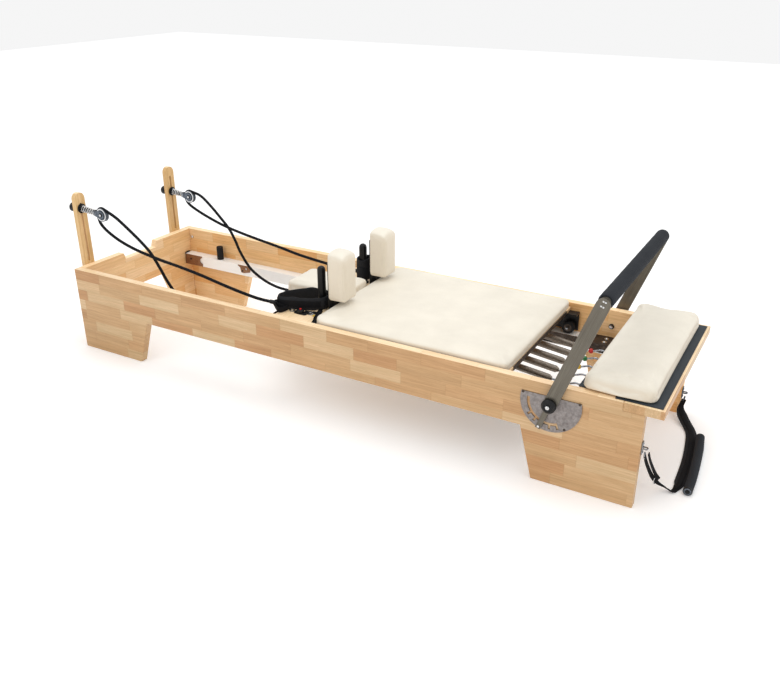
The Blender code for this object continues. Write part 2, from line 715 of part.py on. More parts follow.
def riser_knob(side, y, z):
    """A knob behind the riser that clamps the pulley at its height."""
    start = HEAD - GAP - RISER_DEPTH - GAP
    length = start - (HEAD - KNOB_REACH)
    bore, radius = 0.0039, 0.0185
    depth = 0.026
    profile = [(0, length), (radius - 0.004, length), (radius, length - 0.005),
               (radius, 0.012), (0.011, 0.006), (0.011, 0), (bore, 0), (bore, depth), (0, depth)]
    place = Matrix.Translation((start, y, z)) @ Matrix.Rotation(math.radians(-90), 4, "Y")
    turned(f"{side}_riser_knob", profile, place, "black_plastic", 20)


# ---------------------------------------------------------------- ropes and foot strap

def rope(side, sign, strap_route, carriage_route):
    """One rope from the hand strap, over its sheave from below, and down to the deck's head edge."""
    x, z = SHEAVE[side]
    over = arc((x, z), ROPE_TURN, 180, 70, 8)
    route = [(HEAD + px, sign * py, pz) for px, py, pz in reversed(strap_route)]
    route += [(px, sign * RISER_Y, pz) for px, pz in over]
    route += [(HEAD + px, sign * py, pz) for px, py, pz in carriage_route]
    tube(f"{side}_rope", smooth_route(route, 0.036), ROPE_RADIUS, "rope")


def ropes():
    """Both ropes, each route chosen by hand from the sheave outwards."""
    near_to_strap = [(0.0955, 0.260, 0.557), (0.106, 0.260, 0.533), (0.140, 0.260, 0.507),
                     (0.201, 0.260, 0.479), (0.282, 0.260, 0.456), (0.400, 0.260, 0.436),
                     (0.500, 0.259, 0.424), (0.611, 0.258, 0.408), (0.755, 0.257, 0.382),
                     (0.880, 0.256, 0.365), (0.968, 0.248, 0.360)]
    near_to_deck = [(0.190, 0.260, 0.577), (0.238, 0.259, 0.547), (0.309, 0.256, 0.495),
                    (0.358, 0.255, 0.452), (0.397, 0.254, 0.396), (0.432, 0.253, 0.340),
                    (0.490, 0.250, 0.272), (0.570, 0.247, 0.225), (0.670, 0.244, 0.203),
                    (0.780, 0.240, 0.213), (0.880, 0.237, 0.258), (0.950, 0.235, 0.312),
                    (0.9812, 0.235, 0.3280)]
    rope("near", -1, near_to_strap, near_to_deck)
    far_to_strap = [(0.0855, 0.260, 0.512), (0.103, 0.259, 0.490), (0.165, 0.255, 0.464),
                    (0.259, 0.246, 0.438), (0.346, 0.237, 0.421), (0.473, 0.223, 0.406),
                    (0.649, 0.204, 0.390), (0.761, 0.192, 0.378), (0.908, 0.176, 0.371),
                    (1.000, 0.166, 0.371), (1.0722, 0.160, 0.372)]
    far_to_deck = [(0.176, 0.257, 0.541), (0.231, 0.253, 0.506), (0.287, 0.249, 0.460),
                   (0.336, 0.246, 0.415), (0.368, 0.244, 0.366), (0.395, 0.242, 0.314),
                   (0.445, 0.238, 0.252), (0.504, 0.234, 0.217), (0.565, 0.230, 0.197),
                   (0.640, 0.225, 0.189), (0.740, 0.221, 0.198), (0.850, 0.215, 0.243),
                   (0.940, 0.210, 0.303), (0.9812, 0.208, 0.3280)]
    rope("far", 1, far_to_strap, far_to_deck)


def foot_strap():
    """The foot strap: thin webbing from each clip to a wide flat part on the floor, with a grip."""
    height, wide, thickness = 0.020, 0.036, 0.004
    floor = thickness / 2 + 0.0010
    to_near = [(2.440, -0.188, 0.011), (2.430, -0.201, 0.012), (2.412, -0.208, 0.017), (2.390, -0.218, 0.032),
               (2.374, -0.235, 0.060), (2.364, -0.260, 0.100), (2.359, -0.292, 0.142),
               (2.357, -0.320, 0.180)]
    on_floor = [(2.434, -0.204, floor), (2.441, -0.190, floor), (2.446, -0.155, floor),
                (2.446, -0.100, floor), (2.443, -0.020, floor), (2.437, 0.052, floor),
                (2.427, 0.130, floor), (2.418, 0.178, floor), (2.404, 0.212, 0.005),
                (2.386, 0.240, 0.010), (2.364, 0.272, 0.022), (2.353, 0.296, 0.036)]
    to_far = [(2.356, 0.290, 0.036), (2.355, 0.303, 0.044), (2.357, 0.318, 0.060)]
    route = [(HEAD + x, y, z) for x, y, z in on_floor]
    strap = ribbon("foot_strap", smooth_route(route, 0.030), wide, thickness, "webbing")
    pieces = []
    for ends in (to_near, to_far):
        points = smooth_route([(HEAD + x, y, z) for x, y, z in ends], 0.030)
        pieces.append(band("strap_end", points, height, thickness, "webbing"))
    grip_route = [(2.440, -0.186, 0.0165), (2.466, -0.204, 0.0165), (2.479, -0.186, 0.0165),
                  (2.476, -0.100, 0.0165), (2.469, -0.010, 0.0165), (2.460, 0.080, 0.0165),
                  (2.451, 0.150, 0.0165), (2.426, 0.162, 0.0165)]
    pieces.append(tube("strap_grip", smooth_route([(HEAD + x, y, z) for x, y, z in grip_route], 0.030),
                       0.015, "webbing", 4))
    combine(strap, pieces, "UNION")


def build():
    """Make every sub-part of the reformer."""
    for side, sign in SIDES.items():
        side_panel(side, sign)
        rail(side, sign)
        stopper(side, sign)
        riser(side, sign)
        quadrant(side, sign)
        shoulder_rest(side, sign)
        pulley(side, sign)
    strap_clip("near", -1, 0.205)
    strap_clip("far", 1, 0.085)
    head_end_panel()
    platform()
    spring_bar()
    carriage()
    headrest()
    hand_straps()
    springs()
    footbar()
    ropes()
    foot_strap()


build()
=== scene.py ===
"""The looks of a pilates reformer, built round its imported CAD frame.

Metres, +Z up. X runs from the head end, with the pulley risers, to the foot end, with the footbar,
and Y from the near side to the far side.
"""

import math

import bmesh
import bpy
from mathutils import Matrix, Vector, kdtree, noise


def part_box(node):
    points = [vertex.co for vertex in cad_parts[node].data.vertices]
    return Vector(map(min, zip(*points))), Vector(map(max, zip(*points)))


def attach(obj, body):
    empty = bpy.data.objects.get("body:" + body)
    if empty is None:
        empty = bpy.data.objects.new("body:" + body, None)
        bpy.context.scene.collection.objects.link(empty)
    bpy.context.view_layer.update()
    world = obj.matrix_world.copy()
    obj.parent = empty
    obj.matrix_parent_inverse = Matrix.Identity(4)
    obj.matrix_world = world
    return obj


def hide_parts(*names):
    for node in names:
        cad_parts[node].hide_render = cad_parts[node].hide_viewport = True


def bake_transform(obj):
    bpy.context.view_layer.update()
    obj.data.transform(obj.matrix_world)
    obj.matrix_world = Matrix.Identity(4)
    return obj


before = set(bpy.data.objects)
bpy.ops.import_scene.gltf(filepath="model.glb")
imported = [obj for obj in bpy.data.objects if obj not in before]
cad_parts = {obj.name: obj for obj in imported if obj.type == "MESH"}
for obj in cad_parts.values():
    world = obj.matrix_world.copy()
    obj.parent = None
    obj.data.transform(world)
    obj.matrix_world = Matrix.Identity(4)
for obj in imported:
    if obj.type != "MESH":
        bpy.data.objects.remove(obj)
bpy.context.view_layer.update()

HEAD = -1.173
SIDES = {"near": -1, "far": 1}
PIVOT = (HEAD + 2.066, 0.288)
ARM_LENGTH = 0.3824
ARM_LEAN = math.radians(19.7)
ARM_OUTSIDE = 0.3605
PANEL_OUTSIDE = 0.345
PANEL_INSIDE = 0.314
DECK_TOP = 0.3347
RISER_Y = 0.26
CLAMP_Z = {"near": 0.587, "far": 0.539}
SHEAVE = {"near": (HEAD + 0.12, 0.577), "far": (HEAD + 0.11, 0.528)}
ROPE_TURN = 0.026
ROPE_RADIUS = 0.006
PEG = (HEAD + 1.101, 0.147)
UP = Vector((0, 0, 1))


# ---------------------------------------------------------------- materials

def srgb(red, green, blue):
    """A screen colour from 0 to 255 as linear light."""
    def linear(value):
        value = value / 255
        return value / 12.92 if value <= 0.04045 else ((value + 0.055) / 1.055) ** 2.4
    return (linear(red), linear(green), linear(blue), 1.0)


class Look:
    """One node material. A node's input may be a number, a tuple or another node's output."""

    def __init__(self, name, **fixed):
        self.material = bpy.data.materials.new(name)
        self.material.use_nodes = True
        self.tree = self.material.node_tree
        self.shader = self.tree.nodes["Principled BSDF"]
        self.set(**fixed)
        self.place = self.node("TexCoord", out="Object")

    def set(self, **inputs):
        """Fills the shader's own sockets; a name's underscores stand for spaces."""
        for name, value in inputs.items():
            self.fill(self.shader.inputs[name.replace("_", " ")], value)

    def fill(self, socket, value):
        if isinstance(value, bpy.types.NodeSocket):
            self.tree.links.new(value, socket)
        else:
            socket.default_value = value

    def node(self, kind, inputs=None, out=0, **settings):
        made = self.tree.nodes.new("ShaderNode" + kind)
        for name, value in settings.items():
            setattr(made, name, value)
        for name, value in (inputs or {}).items():
            self.fill(made.inputs[name], value)
        return made.outputs[out]

    def math(self, operation, a, b=0.0, c=0.0):
        return self.node("Math", {0: a, 1: b, 2: c}, operation=operation)

    def stretch(self, vector, scale):
        return self.node("VectorMath", {0: vector, 1: scale}, operation="MULTIPLY")

    def noise(self, vector, scale, detail=3.0, rough=0.55, distortion=0.0):
        return self.node("TexNoise", {"Vector": vector, "Scale": scale, "Detail": detail,
                                               "Roughness": rough, "Distortion": distortion}, out="Fac")

    def span(self, value, low, high, to_low=0.0, to_high=1.0):
        return self.node("MapRange", {"Value": value, "From Min": low, "From Max": high,
                                               "To Min": to_low, "To Max": to_high})

    def mix(self, share, a, b, blend="MIX"):
        return self.node("Mix", {0: share, 6: a, 7: b}, out=2, data_type="RGBA",
                         blend_type=blend)

    def ramp(self, value, *stops):
        made = self.tree.nodes.new("ShaderNodeValToRGB")
        made.color_ramp.elements[0].position, made.color_ramp.elements[0].color = stops[0]
        made.color_ramp.elements[1].position, made.color_ramp.elements[1].color = stops[-1]
        for position, colour in stops[1:-1]:
            made.color_ramp.elements.new(position).color = colour
        self.fill(made.inputs[0], value)
        return made.outputs[0]

    def upward(self):
        """How far a surface faces up: 1 on top, 0 on a side."""
        normal = self.node("NewGeometry", out="Normal")
        return self.node("SeparateXYZ", {0: normal}, out=2)

    def bump(self, height, strength, distance):
        self.set(Normal=self.node("Bump", {"Height": height, "Strength": strength,
                                                     "Distance": distance}))
        return self.material


def wood(name, order, seed, row=0.043, block=0.21, tones=None, phase=0.0, browner=0.0):
    """Finger-jointed hardwood: order names the axes along the strips, across them and through.

    browner darkens the boards of the head leg by that share.
    """
    look = Look(name, Coat_Weight=0.12, Coat_Roughness=0.35)
    axes = look.node("SeparateXYZ", {0: look.place}).node.outputs
    along, across, through = (axes["XYZ".index(letter)] for letter in order)
    strip = look.math("FLOOR", look.math("DIVIDE", look.math("ADD", across, phase), row))
    shift = look.node("TexWhiteNoise", {"W": look.math("ADD", strip, seed)},
                      noise_dimensions="1D")
    line = look.math("MULTIPLY_ADD", shift, 37.0, look.math("DIVIDE", along, block))
    cells = look.node("TexVoronoi", {"W": line, "Randomness": 0.75, "Scale": 1.0},
                      voronoi_dimensions="1D", out="Color")
    tone = look.node("SeparateColor", {0: cells}).node.outputs
    edge = look.node("TexVoronoi", {"W": line, "Randomness": 0.75, "Scale": 1.0},
                     voronoi_dimensions="1D", feature="DISTANCE_TO_EDGE")
    offset = look.math("MULTIPLY_ADD", tone[1], 9.0, look.math("MULTIPLY", shift, 13.0))
    grain_place = look.node("CombineXYZ", {0: along, 1: across, 2: through})
    shifted = look.node("CombineXYZ", {0: offset, 1: offset, 2: offset})
    moved = look.node("VectorMath", {0: grain_place, 1: shifted}, operation="ADD")
    streaks = look.noise(look.stretch(moved, (6.0, 190.0, 190.0)), 1.0, 4.0, 0.66, 0.35)
    figure = look.noise(look.stretch(moved, (1.6, 30.0, 30.0)), 1.0, 3.0, 0.55, 0.9)
    pores = look.noise(look.stretch(moved, (38.0, 900.0, 900.0)), 1.0, 1.0, 0.5)
    tones = tones or [(186, 139, 92), (194, 155, 109), (201, 166, 122), (210, 182, 142)]
    base = look.ramp(tone[0], (0.05, srgb(*tones[0])), (0.35, srgb(*tones[1])),
                     (0.65, srgb(*tones[2])), (0.95, srgb(*tones[3])))
    shade = look.span(streaks, 0.3, 0.72, 0.8, 1.14)
    shade = look.math("MULTIPLY", shade, look.span(figure, 0.3, 0.7, 0.9, 1.07))
    pore = look.span(pores, 0.6, 0.74, 1.0, 0.8)
    shade = look.math("MULTIPLY", shade, pore)
    joint = look.span(edge, 0.0, 0.0024 / block, 0.88, 1.0)
    side = look.math("FRACT", look.math("DIVIDE", look.math("ADD", across, phase), row))
    near_side = look.math("MINIMUM", side, look.math("SUBTRACT", 1.0, side))
    seam = look.span(near_side, 0.0, 0.014, 0.93, 1.0)
    shade = look.math("MULTIPLY", shade, look.math("MULTIPLY", joint, seam))
    broad = look.noise(look.place, 2.6, 1.0)
    shade = look.math("MULTIPLY", shade, look.span(broad, 0.3, 0.7, 0.94, 1.05))
    leg = look.math("MULTIPLY", look.span(along, HEAD + 0.32, HEAD + 0.46, browner, 0.0),
                    look.span(across, 0.15, 0.19, 1.0, 0.0))
    shade = look.math("MULTIPLY", shade, look.math("SUBTRACT", 1.0, leg))
    # Painted light: faces that look up are made lighter, as if lit from above.
    top = look.span(look.upward(), 0.8, 0.98)
    shade = look.math("MULTIPLY", shade, look.math("MULTIPLY_ADD", top, 0.3, 1.0))
    warmth = {0: look.math("POWER", shade, 0.8), 1: shade, 2: look.math("POWER", shade, 1.5)}
    tint = look.node("CombineColor", warmth)
    # Painted light: the upward faces are also mixed towards a pale cream.
    base = look.mix(look.math("MULTIPLY", top, 0.6), base, srgb(250, 222, 174))
    warm = look.mix(look.span(figure, 0.35, 0.65, 0.0, 0.3), base, srgb(204, 158, 108))
    look.set(Base_Color=look.mix(1.0, warm, tint, "MULTIPLY"),
             Roughness=look.span(streaks, 0.2, 0.8, 0.52, 0.36))
    height = look.math("MULTIPLY_ADD", pore, 0.6, look.math("MULTIPLY", streaks, 0.5))
    height = look.math("MULTIPLY", height, look.math("MULTIPLY", joint, seam))
    return look.bump(height, 0.35, 0.0006)


def leatherette(name, colour):
    """Soft artificial leather: a fine pebbled grain, faint creases and a little dirt, with painted shade
    darkening its sides.
    """
    look = Look(name, Coat_Weight=0.05, Coat_Roughness=0.45, Sheen_Weight=0.12, Sheen_Roughness=0.5)
    soft = look.noise(look.place, 9.0)
    fine = look.node("TexVoronoi", {"Vector": look.place, "Scale": 620.0, "Randomness": 0.9})
    crease = look.noise(look.place, 55.0, 4.0, 0.6, 1.2)
    light, dark = srgb(*colour), srgb(*(value - 9 for value in colour))
    tone = look.mix(look.span(soft, 0.35, 0.7), dark, light)
    tone = look.mix(look.span(fine, 0.25, 0.7, 0.0, 0.1), tone, srgb(196, 184, 160))
    # Painted shade: faces that look sideways are mixed towards a darker, warmer tone.
    side = look.span(look.upward(), 0.1, 0.75, 0.5, 0.0)
    tone = look.mix(side, tone, srgb(214, 198, 174))
    look.set(Base_Color=tone, Roughness=look.span(crease, 0.3, 0.7, 0.42, 0.56))
    height = look.math("MULTIPLY_ADD", crease, 0.9, look.math("MULTIPLY", fine, -0.35))
    return look.bump(height, 0.22, 0.0008)


def rubbery(name, dark, light, roughness, scale, strength, distance, **fixed):
    """Moulded plastic, rubber or foam: a mottled colour under a grain of its own scale."""
    look = Look(name, **fixed)
    speck = look.noise(look.place, scale, 3.0, 0.6)
    broad = look.noise(look.place, 14.0, 2.0)
    tone = look.mix(look.span(speck, 0.35, 0.7), srgb(*dark), srgb(*light))
    look.set(Base_Color=look.mix(look.span(broad, 0.3, 0.8, 0.0, 0.35), tone, srgb(*light)),
             Roughness=look.span(speck, 0.3, 0.7, roughness - 0.06, roughness + 0.07))
    return look.bump(speck, strength, distance)


def metal(name, dark, light, roughness, stretch, strength=0.12, worn=0.0, metallic=1.0):
    """Metal with fine lines or mottling; stretch scales the noise along X, Y and Z."""
    look = Look(name, Metallic=metallic)
    lines = look.noise(look.stretch(look.place, stretch), 1.0, 4.0, 0.62)
    blotch = look.noise(look.place, 60.0, 4.0, 0.65, 0.6)
    tone = look.mix(look.span(lines, 0.3, 0.72), srgb(*dark), srgb(*light))
    tone = look.mix(look.span(blotch, 0.45, 0.75, 0.0, worn), tone, srgb(*(v * 0.62 for v in dark)))
    rough = look.math("ADD", look.span(lines, 0.3, 0.7, roughness - 0.07, roughness + 0.07),
                      look.span(blotch, 0.4, 0.8, 0.0, 0.12))
    look.set(Base_Color=tone, Roughness=rough)
    return look.bump(lines, strength, 0.0003)


def brushed_arm():
    """Dark brushed steel whose lines run along the leaning arms."""
    look = Look("brushed_arm", Metallic=0.65, Anisotropic=0.4)
    turned = look.node("VectorRotate", {"Vector": look.place, "Center": (0, 0, 0),
                                                  "Angle": -ARM_LEAN}, rotation_type="Y_AXIS")
    lines = look.noise(look.stretch(turned, (1500.0, 300.0, 9.0)), 1.0, 3.0, 0.6)
    blotch = look.noise(look.stretch(turned, (60.0, 60.0, 14.0)), 1.0, 3.0, 0.6)
    tone = look.mix(look.span(lines, 0.3, 0.7), srgb(88, 82, 72), srgb(128, 122, 110))
    tone = look.mix(look.span(blotch, 0.4, 0.8, 0.0, 0.45), tone, srgb(84, 78, 70))
    look.set(Base_Color=tone, Roughness=look.span(lines, 0.3, 0.7, 0.34, 0.5))
    return look.bump(lines, 0.15, 0.0002)


def woven(name, dark, light, pitch, rib, roughness=0.8, twill=0.0):
    """Webbing or cord by its own map, in metres: u across or round it and v along it."""
    look = Look(name, Specular_IOR_Level=0.12)
    uv = look.node("UVMap", uv_map="along")
    axes = look.node("SeparateXYZ", {0: uv}).node.outputs
    u = look.math("MULTIPLY", axes[0], 2 * math.pi / rib)
    v = look.math("MULTIPLY", axes[1], 2 * math.pi / pitch)
    leaned = look.math("MULTIPLY_ADD", u, twill, v)
    counter = look.math("MULTIPLY_ADD", u, -twill, v)
    weave = look.math("MULTIPLY", look.math("SINE", leaned), look.math("SINE", counter if twill else u))
    fuzz = look.noise(look.place, 900.0, 3.0, 0.7)
    height = look.math("MULTIPLY_ADD", weave, 0.5, look.math("MULTIPLY", fuzz, 0.45))
    # The colour follows the weave's height: its hollows are darker as painted shade, and the fuzz gives the
    # fibres' own varying tone.
    tone = look.mix(look.span(height, -0.25, 0.75), srgb(*dark), srgb(*light))
    look.set(Base_Color=tone, Roughness=roughness)
    return look.bump(height, 0.5, 0.0006)


def clear_wheel():
    """Pale, slightly milky plastic of the pulley wheels."""
    look = Look("sheave_plastic", Transmission_Weight=0.25, IOR=1.46, Coat_Weight=0.4)
    marks = look.noise(look.place, 130.0, 3.0, 0.6)
    look.set(Base_Color=look.mix(look.span(marks, 0.3, 0.7), srgb(74, 82, 92), srgb(112, 122, 134)),
             Roughness=look.span(marks, 0.3, 0.7, 0.16, 0.32))
    return look.bump(marks, 0.08, 0.0004)


LOOK = {
    "near_wood": wood("wood_near_side", "XZY", 3.0, row=0.0437, phase=0.0002, browner=0.13),
    # The far side's wood is a lighter copy of the near side's: painted light that lifts the panel's shaded
    # inner face.
    "far_wood": wood("wood_far_side", "XZY", 41.0, row=0.0437, phase=0.0002,
                     tones=[(238, 178, 110), (242, 190, 126), (246, 200, 142), (250, 212, 162)]),
    # The head end's wood is also a lighter copy: painted light that lifts its shaded inner face.
    "head_wood": wood("wood_head_end", "YZX", 17.0, row=0.0437, block=0.24, phase=0.0002,
                      tones=[(236, 184, 124), (240, 194, 138), (246, 206, 154), (250, 216, 172)]),
    "platform_wood": wood("wood_platform", "YXZ", 29.0, row=0.045, block=0.26),
    "deck_wood": wood("wood_deck", "YXZ", 53.0, row=0.06, block=0.4,
                      tones=[(206, 168, 120), (216, 182, 138), (222, 190, 148), (230, 200, 162)]),
    "riser_wood": wood("wood_riser", "ZYX", 61.0, row=0.5, block=2.0, phase=0.25,
                       tones=[(210, 168, 106), (214, 174, 114), (218, 180, 120), (224, 188, 132)]),
    "leatherette": leatherette("leatherette", (237, 230, 215)),
    "platform_mat": rubbery("platform_mat", (24, 31, 37), (48, 57, 65), 0.72, 900.0, 0.5, 0.0008),
    "foam": rubbery("foam", (27, 30, 34), (52, 55, 60), 0.88, 1100.0, 0.55, 0.0008,
                    Specular_IOR_Level=0.2),
    "arm_steel": brushed_arm(),
    "plate_steel": metal("plate_steel", (124, 117, 115), (164, 158, 155), 0.48, (95, 95, 95),
                         0.2, worn=0.38),
    # The rail is painted near-white: a painted reflection of the white surroundings in polished aluminium.
    "rail_aluminium": metal("rail_aluminium", (246, 245, 242), (254, 253, 250), 0.46, (9, 700, 700),
                            metallic=0.15),
    "bracket_steel": metal("bracket_steel", (66, 58, 53), (104, 95, 88), 0.46, (70, 70, 70), 0.2, 0.5),
    # The plates' brown is a painted reflection of the wooden panels in the steel.
    "rail_plate": metal("rail_plate", (132, 100, 78), (176, 138, 108), 0.5, (60, 60, 60), 0.15, 0.4),
    "spring_steel": metal("spring_steel", (118, 108, 98), (176, 166, 154), 0.3, (500, 500, 500)),
    "bright_steel": metal("bright_steel", (196, 196, 196), (232, 232, 232), 0.18, (260, 260, 260), 0.06),
    "cheek_steel": metal("cheek_steel", (62, 68, 78), (122, 130, 140), 0.24, (160, 160, 160), 0.08, 0.6),
    "worn_chrome": metal("worn_chrome", (104, 108, 114), (190, 192, 196), 0.22, (180, 180, 180), 0.08, 0.6),
    "black_plastic": rubbery("black_plastic", (9, 9, 10), (20, 20, 22), 0.42, 700.0, 0.18, 0.0004,
                             Specular_IOR_Level=0.3),
    "black_rubber": rubbery("black_rubber", (12, 12, 13), (26, 26, 27), 0.68, 420.0, 0.3, 0.0005,
                            Specular_IOR_Level=0.25),
    "sheave_plastic": clear_wheel(),
    "webbing": woven("webbing", (10, 10, 11), (34, 34, 37), 0.002, 0.0024),
    "padding": rubbery("strap_padding", (18, 18, 20), (50, 51, 54), 0.88, 520.0, 0.5, 0.0008,
                       Specular_IOR_Level=0.18),
    "rope": woven("rope", (4, 4, 6), (24, 26, 31), 0.0046, 0.0094, 0.62, twill=1.0),
    "red": rubbery("red", (176, 22, 24), (206, 38, 36), 0.34, 300.0, 0.1, 0.0003),
    "green": rubbery("green", (18, 96, 48), (38, 132, 70), 0.34, 300.0, 0.1, 0.0003),
    "yellow": rubbery("yellow", (206, 164, 16), (232, 194, 44), 0.34, 300.0, 0.1, 0.0003),
}
SINGLE_NODES = {"near_side_panel": "near_wood", "far_side_panel": "far_wood", "head_end_panel": "head_wood",
                "foot_platform": "platform_wood", "platform_mat": "platform_mat",
                "carriage_deck": "deck_wood", "spring_bar": "bracket_steel", "footbar_tube": "arm_steel"}
PAIRED_NODES = {"riser": "riser_wood", "rail": "rail_aluminium", "quadrant": "plate_steel",
                "arm": "arm_steel", "stopper": "black_rubber", "head_wheel": "black_rubber",
                "foot_wheel": "black_rubber", "wheel_beam": "black_plastic", "peg": "black_plastic",
                "shoulder_bracket": "black_plastic", "pivot_knob": "black_plastic",
                "riser_knob": "black_plastic"}


def dress():
    """Gives the CAD nodes that stay their finishes."""
    finishes = dict(SINGLE_NODES)
    for side in SIDES:
        finishes.update({f"{side}_{node}": look for node, look in PAIRED_NODES.items()})
    for node, look in finishes.items():
        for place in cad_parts[node].material_slots:
            place.material = LOOK[look]


# ---------------------------------------------------------------- mesh tools

def arc(centre, radius, start, end, steps):
    """Points on an arc, angles in degrees."""
    points = []
    for step in range(steps + 1):
        angle = math.radians(start + (end - start) * step / steps)
        points.append((centre[0] + radius * math.cos(angle), centre[1] + radius * math.sin(angle)))
    return points


def rounded_rectangle(low, high, radius, steps=6):
    """A rectangle's outline with round corners, anticlockwise from its low-low corner."""
    radii = radius if isinstance(radius, (list, tuple)) else [radius] * 4
    corners = [(low[0], low[1], 180), (high[0], low[1], 270), (high[0], high[1], 0),
               (low[0], high[1], 90)]
    points = []
    for (x, y, start), r in zip(corners, radii):
        cx = x + r if x == low[0] else x - r
        cy = y + r if y == low[1] else y - r
        points += arc((cx, cy), r, start, start + 90, steps)
    return points


def smooth_route(route, spacing, cyclic=False):
    """Points about `spacing` apart on a Catmull-Rom curve through a route's points."""
    route = [Vector(p) for p in route]
    if cyclic:
        knots = [route[-1]] + route + route[:2]
    else:
        knots = [2 * route[0] - route[1]] + route + [2 * route[-1] - route[-2]]
    points = []
    for a, b, c, d in zip(knots, knots[1:], knots[2:], knots[3:]):
        steps = max(1, round((c - b).length / spacing))
        for step in range(steps):
            t = step / steps
            points.append(0.5 * (2 * b + (c - a) * t + (2 * a - 5 * b + 4 * c - d) * t ** 2
                                 + (3 * b - a - 3 * c + d) * t ** 3))
    return points if cyclic else points + [knots[-2]]


def facing_y(x, y, z, sign=1):
    """A place whose local Z points along the world's +Y, or -Y where sign is -1."""
    return Matrix.Translation((x, y, z)) @ Matrix.Rotation(math.radians(-90 * sign), 4, "X")


def facing_x(x, y, z, sign=1):
    """A place whose local Z points along the world's +X, or -X where sign is -1."""
    return Matrix.Translation((x, y, z)) @ Matrix.Rotation(math.radians(90 * sign), 4, "Y")


def upright(x, y, z):
    """A place whose local X, Y, Z are the world's X, Z, -Y."""
    return Matrix.Translation((x, y, z)) @ Matrix.Rotation(math.radians(90), 4, "X")


def across_x(x):
    """A place whose local X, Y, Z are the world's Y, Z, X."""
    return Matrix(((0, 0, 1, x), (1, 0, 0, 0), (0, 1, 0, 0), (0, 0, 0, 1)))


